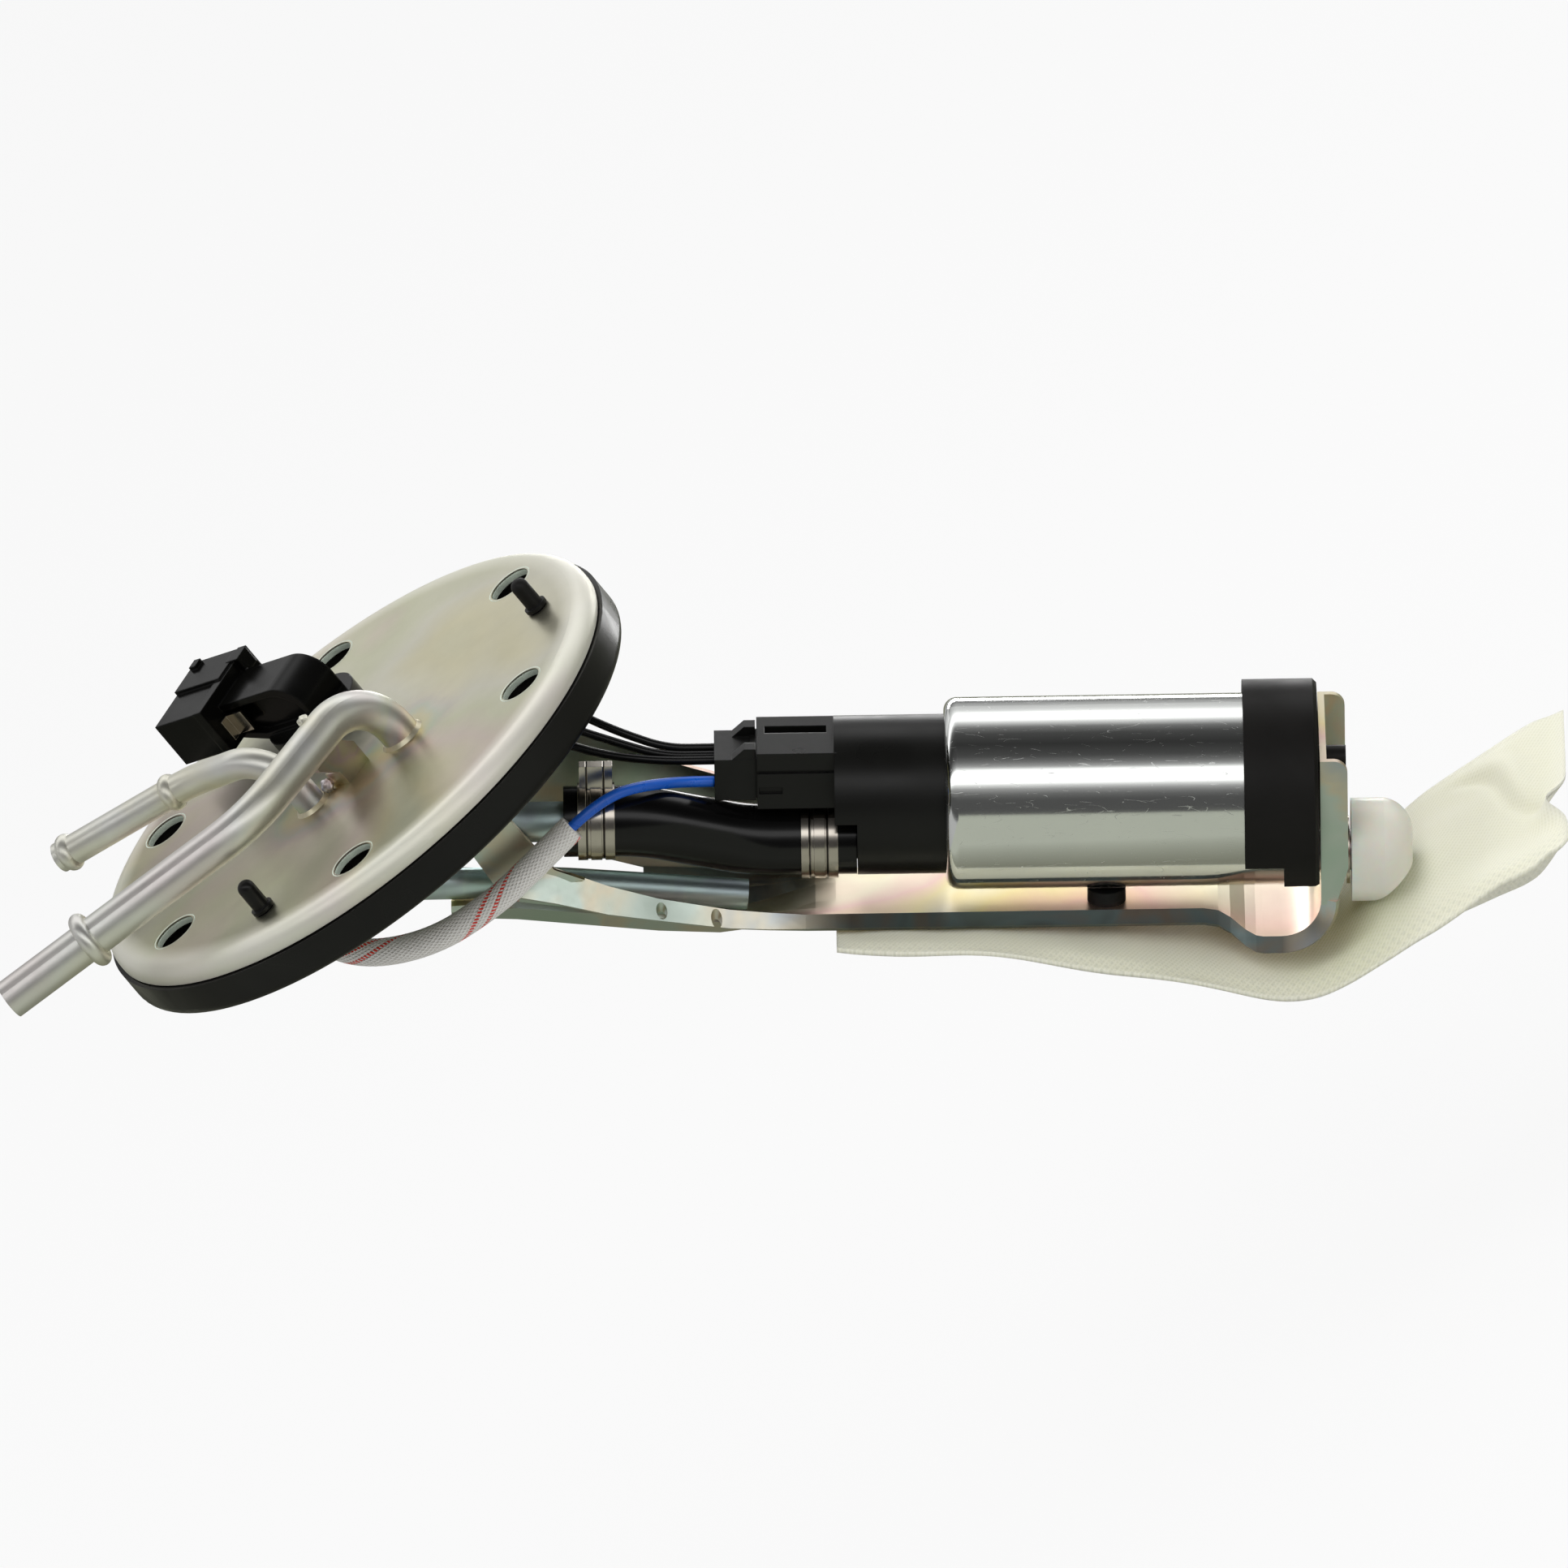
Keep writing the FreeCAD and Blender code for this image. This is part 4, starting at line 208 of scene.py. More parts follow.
class Shader:
    """A material built from nodes round one principled shader."""

    def __init__(self, name):
        self.material = bpy.data.materials.new(name)
        self.material.use_nodes = True
        self.tree = self.material.node_tree
        self.main = self.tree.nodes["Principled BSDF"]
        self.coordinates = self.tree.nodes.new("ShaderNodeTexCoord")
        self.edge = self.film = self.satin = None

    def set(self, **values):
        for word, value in values.items():
            socket = self.main.inputs[word.replace("_", " ")]
            socket.default_value = value
        return self

    def link(self, source, target):
        self.tree.links.new(source, target)

    def feed(self, socket, value):
        """Link a socket to another, or set its constant."""
        if isinstance(value, bpy.types.NodeSocket):
            self.link(value, socket)
        else:
            socket.default_value = value

    def node(self, kind, settings=(), **inputs):
        made = self.tree.nodes.new(f"ShaderNode{kind}")
        for word, value in dict(settings).items():
            setattr(made, word, value)
        for word, value in inputs.items():
            self.feed(made.inputs[word.replace("_", " ")], value)
        return made

    def place(self, source="Object", turn=(0, 0, 0)):
        """A coordinate of the surface, turned by three angles."""
        return self.node("Mapping", Vector=self.coordinates.outputs[source],
                         Rotation=turn).outputs["Vector"]

    def vector(self, kind, first, second=(0, 0, 0)):
        made = self.node("VectorMath", {"operation": kind})
        self.feed(made.inputs[0], first)
        self.feed(made.inputs[1], second)
        return made

    def noise(self, place, scale, detail=4.0, roughness=0.5, distortion=0.0):
        made = self.node("TexNoise", Vector=place, Scale=scale, Detail=detail,
                         Roughness=roughness, Distortion=distortion)
        return made.outputs["Fac"]

    def ramp(self, value, stops):
        made = self.node("ValToRGB", Fac=value)
        points = made.color_ramp.elements
        while len(points) < len(stops):
            points.new(0.5)
        for point, (place, colour) in zip(points, stops):
            point.position = place
            point.color = (*colour, 1.0)
        return made.outputs["Color"]

    def span(self, value, low, high, to_low, to_high):
        made = self.node("MapRange")
        self.link(value, made.inputs[0])
        for index, amount in enumerate((low, high, to_low, to_high), start=1):
            made.inputs[index].default_value = amount
        return made.outputs[0]

    def mix(self, factor, first, second, mode="MIX"):
        made = self.node("Mix", {"data_type": "RGBA", "blend_type": mode})
        self.feed(made.inputs[0], factor)
        for index, value in ((6, first), (7, second)):
            linked = isinstance(value, bpy.types.NodeSocket)
            self.feed(made.inputs[index], value if linked else (*value, 1.0))
        return made.outputs[2]

    def sums(self, kind, first, second=0.0):
        made = self.node("Math", {"operation": kind})
        self.feed(made.inputs[0], first)
        self.feed(made.inputs[1], second)
        return made.outputs[0]

    def colour(self, socket):
        self.link(socket, self.main.inputs["Base Color"])
        return self

    def metal(self, socket):
        self.link(socket, self.main.inputs["Metallic"])
        return self

    def rough(self, socket):
        self.link(socket, self.main.inputs["Roughness"])
        return self

    def soften(self, radius):
        """Moulded or stamped edges catch the light as if they were rounded."""
        self.edge = self.node("Bevel", {"samples": 4}, Radius=radius).outputs["Normal"]
        return self

    def bump(self, height, strength, distance=0.0002):
        made = self.node("Bump", Height=height, Strength=strength, Distance=distance)
        if self.edge is not None:
            self.link(self.edge, made.inputs["Normal"])
        self.link(made.outputs["Normal"], self.main.inputs["Normal"])


def shade(colour, factor):
    return tuple(min(1.0, channel * factor) for channel in colour)


def plain(name, colour, metallic, low, high, scale=90.0, grain=900.0, strength=0.15,
          spread=0.16, edge=0.0):
    """Soft cloudy colour, a roughness that runs from low to high, and a fine grain."""
    shader = Shader(name).set(Metallic=metallic)
    if edge:
        shader.soften(edge)
    place = shader.place()
    cloud = shader.noise(place, scale, 5.0, 0.6)
    shader.colour(shader.ramp(cloud, [(0.3, shade(colour, 1 - spread)),
                                      (0.7, shade(colour, 1 + spread))]))
    shader.rough(shader.span(shader.noise(place, scale * 2.3, 6.0, 0.65), 0.3, 0.7, low, high))
    shader.bump(shader.noise(place, grain, 3.0, 0.6), strength, 0.00006)
    return shader


# Hues of the chromate film
ROSE, GOLD, TEAL = (0.88, 0.72, 0.76), (0.92, 0.87, 0.62), (0.56, 0.76, 0.72)
PEARL, MOSS = (0.92, 0.92, 0.90), (0.80, 0.84, 0.66)
STRAW, CREAM, BLUSH = (0.95, 0.84, 0.50), (0.95, 0.90, 0.76), (0.94, 0.68, 0.66)


def plated(name, colour, low, high, share, stops, drift_scale, grain):
    """Zinc, of roughness low to high, under a chromate film whose hue drifts.

    `share` is the film's weight and `stops` its hues.
    """
    shader = Shader(name).set(Metallic=1.0)
    place = shader.place()
    drift = shader.noise(place, drift_scale, 2.5, 0.5, 0.5)
    count = len(stops) - 1
    film = shader.ramp(drift, [(0.28 + 0.44 * i / count, hue) for i, hue in enumerate(stops)])
    cloud = shader.noise(place, 60.0, 5.0, 0.6)
    metal = shader.ramp(cloud, [(0.25, shade(colour, 0.93)), (0.75, shade(colour, 1.05))])
    shader.film = shader.mix(share, metal, shader.mix(1.0, metal, film, "MULTIPLY"))
    shader.colour(shader.film)
    spots = shader.noise(place, 210.0, 6.0, 0.7)
    shader.satin = shader.span(spots, 0.3, 0.72, low, high)
    shader.rough(shader.satin)
    shader.bump(shader.noise(place, 900.0, 4.0, 0.6), grain, 0.00004)
    return shader


def split_place(shader):
    """The place on the row's axes, in metres."""
    return shader.node("SeparateXYZ", Vector=shader.coordinates.outputs["Object"]).outputs


def near_to(shader, spot, reach):
    """A share that is 1 at a spot and falls to 0 at the reach, with a cloudy edge."""
    away = shader.vector("DISTANCE", shader.coordinates.outputs["Object"], spot)
    cloud = shader.noise(shader.place(), 120.0, 3.0, 0.6)
    reached = shader.sums("ADD", away.outputs["Value"],
                          shader.sums("MULTIPLY", shader.sums("SUBTRACT", cloud, 0.5), 0.006))
    return shader.span(reached, reach * 0.2, reach, 1.0, 0.0)


# Where the plate's flat gives way to its rim, as distances from its middle in metres
PLATE_RIM = (0.0535, 0.0580)
# Where the tubes and the stay are joined to the plate, and how far the heat's colours reach
JOINED_SPOTS = (row(14.9, -9.1, 0), row(-7.3, -12.5, 0), row(5.0, -14.0, 0))
HEAT_REACH = 0.017


def plate_metal():
    """The stamped plate and its stay: satin zinc, a duller rim, rainbow rings at the braze."""
    shader = plated("zinc_plate", (0.76, 0.74, 0.62), 0.31, 0.39, 0.6,
                    (MOSS, GOLD, PEARL, MOSS, ROSE, GOLD, TEAL), 13.0, 0.07)
    flat = shader.vector("MULTIPLY", shader.coordinates.outputs["Object"], (1.0, 1.0, 0.0))
    out = shader.vector("LENGTH", flat.outputs[0])
    rim = shader.span(out.outputs["Value"], *PLATE_RIM, 0.0, 1.0)
    shader.metal(shader.span(rim, 0.0, 1.0, 1.0, 0.66))
    shader.rough(shader.sums("ADD", shader.satin, shader.sums("MULTIPLY", rim, 0.16)))
    colour = shader.mix(shader.sums("MULTIPLY", rim, 0.6), shader.film, (0.84, 0.83, 0.78))
    for spot in JOINED_SPOTS:
        close = near_to(shader, spot, HEAT_REACH)
        ring = shader.ramp(close, [(0.0, (1, 1, 1)), (0.25, (0.97, 0.90, 0.93)),
                                   (0.45, (0.78, 0.72, 0.86)), (0.6, (0.70, 0.82, 0.84)),
                                   (0.8, (0.95, 0.88, 0.66)), (1.0, (0.92, 0.86, 0.70))])
        colour = shader.mix(shader.sums("MULTIPLY", close, 0.8), colour,
                            shader.mix(1.0, colour, ring, "MULTIPLY"))
    raised = shader.span(split_place(shader)[2], 0.0008, 0.003, 0.0, 0.85)
    hues = shader.noise(shader.place(), 75.0, 2.0, 0.5, 0.8)
    film = shader.ramp(hues, [(0.32, (0.62, 0.84, 0.76)), (0.42, (0.90, 0.84, 0.60)),
                              (0.52, (0.86, 0.66, 0.72)), (0.62, (0.90, 0.80, 0.62)),
                              (0.72, (0.62, 0.84, 0.78))])
    return shader.colour(shader.mix(raised, colour,
                                    shader.mix(1.0, (0.70, 0.69, 0.66), film, "MULTIPLY")))


def tube_metal():
    """The bent tubes: smooth satin zinc, with strong colours near the braze and below."""
    shader = plated("tube_steel", (0.90, 0.90, 0.86), 0.40, 0.48, 0.4,
                    (PEARL, GOLD, PEARL, ROSE, TEAL), 26.0, 0.12)
    height = split_place(shader)[2]
    hot = shader.span(height, 0.0005, 0.0105, 1.0, 0.0)
    hues = shader.noise(shader.place(), 60.0, 2.0, 0.5, 1.0)
    film = shader.ramp(hues, [(0.30, (0.93, 0.86, 0.58)), (0.42, (0.90, 0.68, 0.74)),
                              (0.52, (0.62, 0.70, 0.84)), (0.62, (0.72, 0.90, 0.72)),
                              (0.74, (0.93, 0.86, 0.58))])
    colour = shader.mix(shader.sums("MULTIPLY", hot, 0.75), shader.film,
                        shader.mix(1.0, shader.film, film, "MULTIPLY"))
    below = shader.span(height, -0.012, -0.004, 0.85, 0.0)
    deep = shader.ramp(hues, [(0.32, (0.50, 0.78, 0.80)), (0.50, (0.66, 0.84, 0.82)),
                              (0.68, (0.56, 0.62, 0.76))])
    return shader.colour(shader.mix(below, colour, deep))


def along_pump(shader):
    """The distance along the pump's axis, in metres."""
    place = shader.coordinates.outputs["Object"]
    return shader.vector("DOT_PRODUCT", place, PUMP_AXIS).outputs["Value"]


# Where the painted dark shade on the bracket's near lip sets in and ends: metres along the
# pump's axis
LIP_PAINTED_SHADE_START = (0.084, 0.100)
LIP_PAINTED_SHADE_END = (0.185, 0.193)


def bracket_metal():
    """The bracket: yellow and pink film on the web, a painted teal reflection on faces to the
    near side, and a painted dark shade along the near lip.
    """
    shader = plated("bracket_steel", (0.99, 0.94, 0.84), 0.30, 0.38, 0.95,
                    (STRAW, CREAM, BLUSH, STRAW, CREAM, STRAW), 19.0, 0.06)
    normal = shader.node("NewGeometry").outputs["Normal"]
    # painted reflection: faces turned to the near side take a teal colour that stands in for
    # what they mirror
    turned = shader.vector("DOT_PRODUCT", normal, (0.0, -1.0, 0.0)).outputs["Value"]
    side = shader.span(turned, 0.12, 0.5, 0.0, 0.96)
    along = along_pump(shader)
    # painted shade: over this stretch of the near lip those faces turn near-black
    painted_shade_share = shader.sums("MULTIPLY", shader.span(along, *LIP_PAINTED_SHADE_START, 0.0, 0.95),
                          shader.span(along, *LIP_PAINTED_SHADE_END, 1.0, 0.0))
    hues = shader.noise(shader.place(), 45.0, 3.0, 0.55, 0.6)
    film = shader.ramp(hues, [(0.30, (0.62, 0.80, 0.72)), (0.48, (0.72, 0.84, 0.80)),
                              (0.56, (0.86, 0.80, 0.66)), (0.70, (0.60, 0.66, 0.72))])
    near_face_painted_colour = shader.mix(1.0, (0.78, 0.78, 0.74), film, "MULTIPLY")
    dark = shader.ramp(hues, [(0.30, (0.02, 0.026, 0.026)), (0.46, (0.05, 0.085, 0.09)),
                              (0.58, (0.085, 0.07, 0.055)), (0.70, (0.03, 0.022, 0.035))])
    near_face_painted_colour = shader.mix(painted_shade_share, near_face_painted_colour, dark)
    return shader.colour(shader.mix(side, shader.film, near_face_painted_colour))


# Each set of scratches on the can: its turn, its seed and its stretch
SCRATCHES = (
    (0.75, 0.0, (45, 190, 190)), (-0.5, 3.7, (60, 260, 260)), (1.35, 8.1, (40, 150, 150)),
)


def can_metal():
    """The can: bright plate with fine draw lines, specks and short stray scratches."""
    shader = Shader("can_metal").set(Metallic=1.0)
    along = shader.place("Object", (0, -PUMP_TILT, 0))
    stretched = shader.node("Mapping", Vector=along, Scale=(14, 160, 160)).outputs["Vector"]
    lines = shader.noise(stretched, 6.0, 5.0, 0.7)
    patches = shader.span(shader.noise(along, 95.0, 3.0, 0.6), 0.50, 0.62, 0.0, 1.0)
    dots = shader.node("TexVoronoi", Vector=along, Scale=520.0).outputs["Distance"]
    marks = shader.sums("MULTIPLY", shader.span(dots, 0.05, 0.11, 1.0, 0.0), patches)
    for turn, seed, scale in SCRATCHES:
        place = shader.node("Mapping", Vector=along, Scale=scale, Location=(seed, seed, seed),
                            Rotation=(0.0, turn, turn * 0.7)).outputs["Vector"]
        found = shader.noise(place, 2.2, 0.0, 0.4)
        away = shader.sums("ABSOLUTE", shader.sums("SUBTRACT", found, 0.5))
        thin = shader.span(away, 0.002, 0.006, 1.0, 0.0)
        broken = shader.span(shader.noise(place, 5.5, 1.0, 0.5), 0.56, 0.62, 0.0, 1.0)
        marks = shader.sums("MAXIMUM", marks, shader.sums("MULTIPLY", thin, broken))
    cloud = shader.noise(shader.place(), 40.0, 5.0, 0.6)
    base = shader.ramp(cloud, [(0.3, (0.77, 0.785, 0.77)), (0.7, (0.83, 0.845, 0.82))])
    shader.colour(base)
    gloss = shader.span(lines, 0.3, 0.7, 0.085, 0.13)
    shader.rough(shader.sums("ADD", gloss, shader.sums("MULTIPLY", marks, 0.30)))
    shader.bump(lines, 0.04, 0.00003)
    return shader


def clouded_rubber(name, colour, low, high, level=0.4):
    """Black moulded rubber with soft cloudy patches of duller and glossier skin."""
    shader = Shader(name).set(Specular_IOR_Level=level).soften(0.0003)
    place = shader.place()
    cloud = shader.noise(place, 34.0, 3.0, 0.55, 0.6)
    shader.rough(shader.span(cloud, 0.35, 0.65, low, high))
    shader.colour(shader.ramp(shader.noise(place, 26.0, 5.0, 0.6),
                              [(0.35, shade(colour, 0.75)), (0.7, shade(colour, 1.35))]))
    shader.bump(shader.noise(place, 900.0, 3.0, 0.6), 0.10, 0.00005)
    return shader


def threads(shader, turns, scale, distortion):
    """Two crossing sets of bands over the bag's length and width."""
    waves = []
    for turn in turns:
        wave = shader.node("TexWave", {"wave_type": "BANDS", "bands_direction": "X"},
                           Vector=shader.place("UV", (0, 0, turn)), Scale=scale,
                           Distortion=distortion, Detail=1.0)
        waves.append(wave.outputs["Fac"])
    return waves


def sock_mesh():
    """Fine cream mesh of crossing threads, knotted along its near edge, with painted
    yellow-green bounce light and shade near the cup.
    """
    shader = Shader("sock_mesh").set(Subsurface_Weight=0.35, Subsurface_Scale=0.003,
                                     Sheen_Weight=0.12, Sheen_Roughness=0.5,
                                     Roughness=0.6, Specular_IOR_Level=0.3)
    shader.main.inputs["Subsurface Radius"].default_value = (1.0, 0.98, 0.80)
    waves = threads(shader, (0.55, -1.02), 0.42, 0.15)
    weave = shader.sums("MAXIMUM", waves[0], shader.sums("MULTIPLY", waves[1], 0.7))
    cloud = shader.noise(shader.place(), 18.0, 3.0, 0.5)
    base = shader.ramp(cloud, [(0.3, (0.63, 0.63, 0.49)), (0.7, (0.70, 0.69, 0.56))])
    # painted bounce light and shade: the mesh turns yellow-green near the bracket's cup
    base = shader.mix(near_to(shader, pump(197, -4, -24), 0.022), base, (0.60, 0.64, 0.36))
    fabric = shader.mix(shader.span(weave, 0.0, 1.0, 0.0, 0.5), base, (0.83, 0.825, 0.71))
    across = shader.node("SeparateXYZ", Vector=shader.coordinates.outputs["UV"]).outputs[1]
    sealed = shader.span(across, -19.5, -15.0, 1.0, 0.0)
    diamond = shader.sums("MINIMUM", *threads(shader, (0.72, -0.72), 0.21, 0.1))
    dots = shader.sums("MULTIPLY", shader.span(diamond, 0.3, 0.75, 0.0, 0.22), sealed)
    shader.colour(shader.mix(dots, fabric, (0.42, 0.43, 0.36)))
    shader.bump(shader.sums("ADD", weave, shader.sums("MULTIPLY", dots, -1.0)), 0.35, 0.00012)
    return shader


def milky_nylon():
    """The neck: pale nylon that some light enters."""
    shader = plain("milky_nylon", (0.74, 0.74, 0.65), 0.0, 0.28, 0.42, scale=50.0, grain=500.0,
                   strength=0.05, spread=0.04)
    shader.set(Subsurface_Weight=0.6, Subsurface_Scale=0.005, Transmission_Weight=0.10)
    return shader


# The sleeve's braid: strands each way round, and the length of one turn in metres
BRAID_STRANDS = 22
BRAID_PITCH = 0.030


def braid():
    """Varnished glass braid: crossing flat strands with two red dashed tracers."""
    shader = Shader("braid").set(Roughness=0.34, Coat_Weight=0.25, Coat_Roughness=0.2)
    split = shader.node("SeparateXYZ", Vector=shader.coordinates.outputs["UV"])
    length, girth = split.outputs[0], split.outputs[1]
    rising = shader.sums("ADD", length, girth)
    falling = shader.sums("SUBTRACT", length, girth)
    strands = [shader.sums("SINE", shader.sums("MULTIPLY", slope, math.tau * BRAID_STRANDS))
               for slope in (rising, falling)]
    weave = shader.sums("MAXIMUM", strands[0], strands[1])
    turns = shader.sums("FRACT", rising)
    tracer = None
    for spot in (0.40, 0.56):
        away = shader.sums("ABSOLUTE", shader.sums("SUBTRACT", turns, spot))
        close = shader.sums("LESS_THAN", away, 0.027)
        tracer = close if tracer is None else shader.sums("MAXIMUM", tracer, close)
    dashes = shader.sums("GREATER_THAN", strands[1], -0.35)
    tracer = shader.sums("MULTIPLY", tracer, dashes)
    cloud = shader.noise(shader.place(), 80.0, 4.0, 0.6)
    base = shader.ramp(cloud, [(0.3, (0.86, 0.85, 0.81)), (0.7, (0.92, 0.91, 0.87))])
    dark = shader.mix(shader.span(weave, 0.3, 1.0, 0.0, 1.0), (0.66, 0.64, 0.59), base)
    shader.colour(shader.mix(tracer, dark, (0.72, 0.05, 0.03)))
    shader.bump(weave, 0.35, 0.0002)
    return shader


# The seams between the bands of the two hose clamps, along the pump's axis in millimetres
CLAMP_SEAMS = (48.1, 51.5, 92.0, 95.5)


def clamp_metal():
    """Dark bright-rolled strip with the two seams between its three bands."""
    shader = Shader("clamp_steel").set(Metallic=1.0).soften(0.0002)
    along = along_pump(shader)
    away = None
    for seam in CLAMP_SEAMS:
        off = shader.sums("ABSOLUTE", shader.sums("SUBTRACT", along, seam * MM))
        away = off if away is None else shader.sums("MINIMUM", away, off)
    flat = shader.span(away, 0.00008, 0.00022, 0.0, 1.0)
    cloud = shader.noise(shader.place(), 150.0, 4.0, 0.6)
    steel = shader.ramp(cloud, [(0.3, (0.47, 0.43, 0.38)), (0.7, (0.56, 0.52, 0.46))])
    shader.colour(shader.mix(flat, (0.05, 0.045, 0.04), steel))
    shader.rough(shader.span(cloud, 0.3, 0.7, 0.14, 0.22))
    shader.bump(flat, 0.6, 0.00025)
    return shader


def make_materials():
    """One finish for each material slot of the record."""
    black = (0.0045, 0.0045, 0.0047)
    return {
        "zinc_plate": plate_metal(),
        "tube_steel": tube_metal(),
        "bracket_steel": bracket_metal(),
        "braze": plain("braze", (0.74, 0.68, 0.50), 1.0, 0.30, 0.5, scale=300.0, grain=1500.0,
                       strength=0.3),
        "gasket_rubber": clouded_rubber("gasket_rubber", (0.0045, 0.0043, 0.004), 0.20, 0.5,
                                        0.26),
        "connector_plastic": plain(
            "connector_plastic", (0.002, 0.002, 0.0018), 0.0, 0.16, 0.26, scale=80.0,
            grain=1500.0, strength=0.05, edge=0.0005).set(Specular_IOR_Level=0.14),
        "hose_rubber": clouded_rubber("hose_rubber", (0.002, 0.002, 0.002), 0.14, 0.24, 0.32),
        "clamp_steel": clamp_metal(),
        "plug_plastic": plain(
            "plug_plastic", (0.004, 0.004, 0.0038), 0.0, 0.30, 0.42, scale=80.0, grain=1500.0,
            strength=0.08, edge=0.0003).set(Specular_IOR_Level=0.26),
        "cap_plastic": clouded_rubber("cap_plastic", (0.0045, 0.0045, 0.004), 0.26, 0.40, 0.25),
        "case_steel": can_metal(),
        "isolator_rubber": clouded_rubber("isolator_rubber", (0.0055, 0.005, 0.0045), 0.45, 0.6,
                                          0.2),
        "bumper_rubber": clouded_rubber("bumper_rubber", black, 0.45, 0.6, 0.25),
        "neck_nylon": milky_nylon(),
        "sock_mesh": sock_mesh(),
        "sleeve_braid": braid(),
        "wire_black": plain("wire_black", black, 0.0, 0.20, 0.30,
                            strength=0.05).set(Specular_IOR_Level=0.35),
        "wire_blue": plain("wire_blue", (0.006, 0.095, 0.50), 0.0, 0.24, 0.34, strength=0.05,
                           spread=0.08),
        "contact_brass": plain("contact_brass", (0.78, 0.62, 0.34), 1.0, 0.25, 0.4),
        "shaft_steel": plain("shaft_steel", (0.66, 0.66, 0.67), 1.0, 0.2, 0.32),
        "core_steel": plain("core_steel", (0.26, 0.26, 0.27), 1.0, 0.4, 0.55),
        "copper": plain("copper", (0.72, 0.38, 0.24), 1.0, 0.3, 0.45, scale=200.0, grain=1200.0,
                        strength=0.4),
        "ferrite": plain("ferrite", (0.07, 0.07, 0.075), 0.0, 0.5, 0.7),
        "carbon": plain("carbon", (0.04, 0.04, 0.043), 0.0, 0.45, 0.6),
        "bearing_bronze": plain("bearing_bronze", (0.62, 0.46, 0.28), 1.0, 0.35, 0.5),
        "impeller_plastic": plain("impeller_plastic", (0.10, 0.07, 0.055), 0.0, 0.4, 0.55),
        "port_aluminium": plain("port_aluminium", (0.74, 0.74, 0.75), 1.0, 0.3, 0.45),
    }


MATERIALS = {slot: shader.material for slot, shader in make_materials().items()}


# Nodes that look unlike their record slot
OTHER_FINISH = {"connector_clip": "clamp_steel"}


def dress_nodes():
    """Every CAD node gets the finish of its record slot, or the one that OTHER_FINISH gives it.
    """
    for entry in frame["record"]["subparts"]:
        node = NODES[entry["node"]]
        node.data.materials.clear()
        slot = OTHER_FINISH.get(entry["node"], entry["material_slot"])
        node.data.materials.append(MATERIALS[slot])


def new_piece(name, vertices, faces, slot, uvs=None, body="frame"):
    """A smooth mesh that rides on a body, the pump's fixed one unless told otherwise."""
    mesh = bpy.data.meshes.new(name)
    mesh.from_pydata([tuple(v) for v in vertices], [], faces)
    mesh.materials.append(MATERIALS[slot])
    if uvs is not None:
        layer = mesh.uv_layers.new(name="UVMap")
        for loop in mesh.loops:
            layer.data[loop.index].uv = uvs[loop.vertex_index]
    mesh.update()
    piece = bpy.data.objects.new(name, mesh)
    bpy.context.collection.objects.link(piece)
    for polygon in mesh.polygons:
        polygon.use_smooth = True
    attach(piece, body)
    return piece


# The strainer's mesh bag

SOCK_STATIONS = [
    # place, height, thickness, tilt in degrees and half width
    (97.0, -26.15, 1.0, -5.0, 20.4),
    (100.0, -26.2, 1.6, -5.0, 20.7),
    (108.0, -26.45, 3.0, -5.0, 20.8),
    (125.0, -26.9, 4.2, -3.5, 21.0),
    (140.0, -27.9, 5.2, -1.5, 21.2),
    (155.0, -29.5, 5.8, 1.0, 21.6),
    (173.0, -32.3, 6.2, 3.0, 22.0),
    (184.0, -33.3, 6.4, 4.5, 22.5),
    (191.5, -32.5, 6.4, 5.5, 22.5),
    (198.0, -29.7, 6.4, 6.5, 22.5),
    (205.6, -24.2, 6.2, 9.0, 22.5),
    (214.5, -16.8, 5.2, 12.5, 22.5),
    (227.4, -8.6, 4.2, 17.0, 22.6),
    (235.0, -4.3, 2.6, 18.0, 22.8),
    (239.0, -1.2, 1.4, 13.0, 22.6),
    (241.6, 1.6, 0.9, 8.5, 22.4),
]


def smooth_station(stations, place):
    """Every number of a station, at any place, by an easy curve through its neighbours."""
    last = len(stations) - 2
    index = max(i for i in range(last + 1) if stations[i][0] <= place or i == 0)
    a = stations[max(index - 1, 0)]
    b = stations[index]
    c = stations[index + 1]
    d = stations[min(index + 2, len(stations) - 1)]
    t = (place - b[0]) / (c[0] - b[0])
    numbers = []
    for k in range(1, len(b)):
        slope_b = (c[k] - a[k]) / (c[0] - a[0]) * (c[0] - b[0])
        slope_c = (d[k] - b[k]) / (d[0] - b[0]) * (c[0] - b[0])
        numbers.append((2 * t ** 3 - 3 * t ** 2 + 1) * b[k] + (t ** 3 - 2 * t ** 2 + t) * slope_b
                       + (3 * t ** 2 - 2 * t ** 3) * c[k] + (t ** 3 - t ** 2) * slope_c)
    return numbers


def bell(value, middle, width):
    """A smooth bump, 1 at the middle."""
    return math.exp(-((value - middle) / width) ** 2)


def ease(value, low, high):
    """A smooth step from 0 at the low end to 1 at the high one."""
    share = min(1.0, max(0.0, (value - low) / (high - low)))
    return share * share * (3 - 2 * share)


# The crease that runs across the wing to the notch in its end: place and across
CREASE_START = (220.0, 17.5)
CREASE_END = (237.5, -4.5)


def crease(place, across):
    """A pinched groove with a puffed fold on its upper side."""
    run = (CREASE_END[0] - CREASE_START[0], CREASE_END[1] - CREASE_START[1])
    length = math.hypot(*run)
    run = (run[0] / length, run[1] / length)
    off = (place - CREASE_START[0], across - CREASE_START[1])
    along = off[0] * run[0] + off[1] * run[1]
    aside = -off[0] * run[1] + off[1] * run[0]
    aside -= 1.6 * math.sin(along / length * math.tau)
    window = ease(along, -3.0, 5.0) * ease(-along, -length - 4.0, -length + 3.0)
    groove = -1.15 * bell(aside, 0.0, 1.3)
    fold = 1.5 * bell(aside, 3.4, 2.3) * bell(along, length * 0.42, length * 0.34)
    return (groove + fold) * window


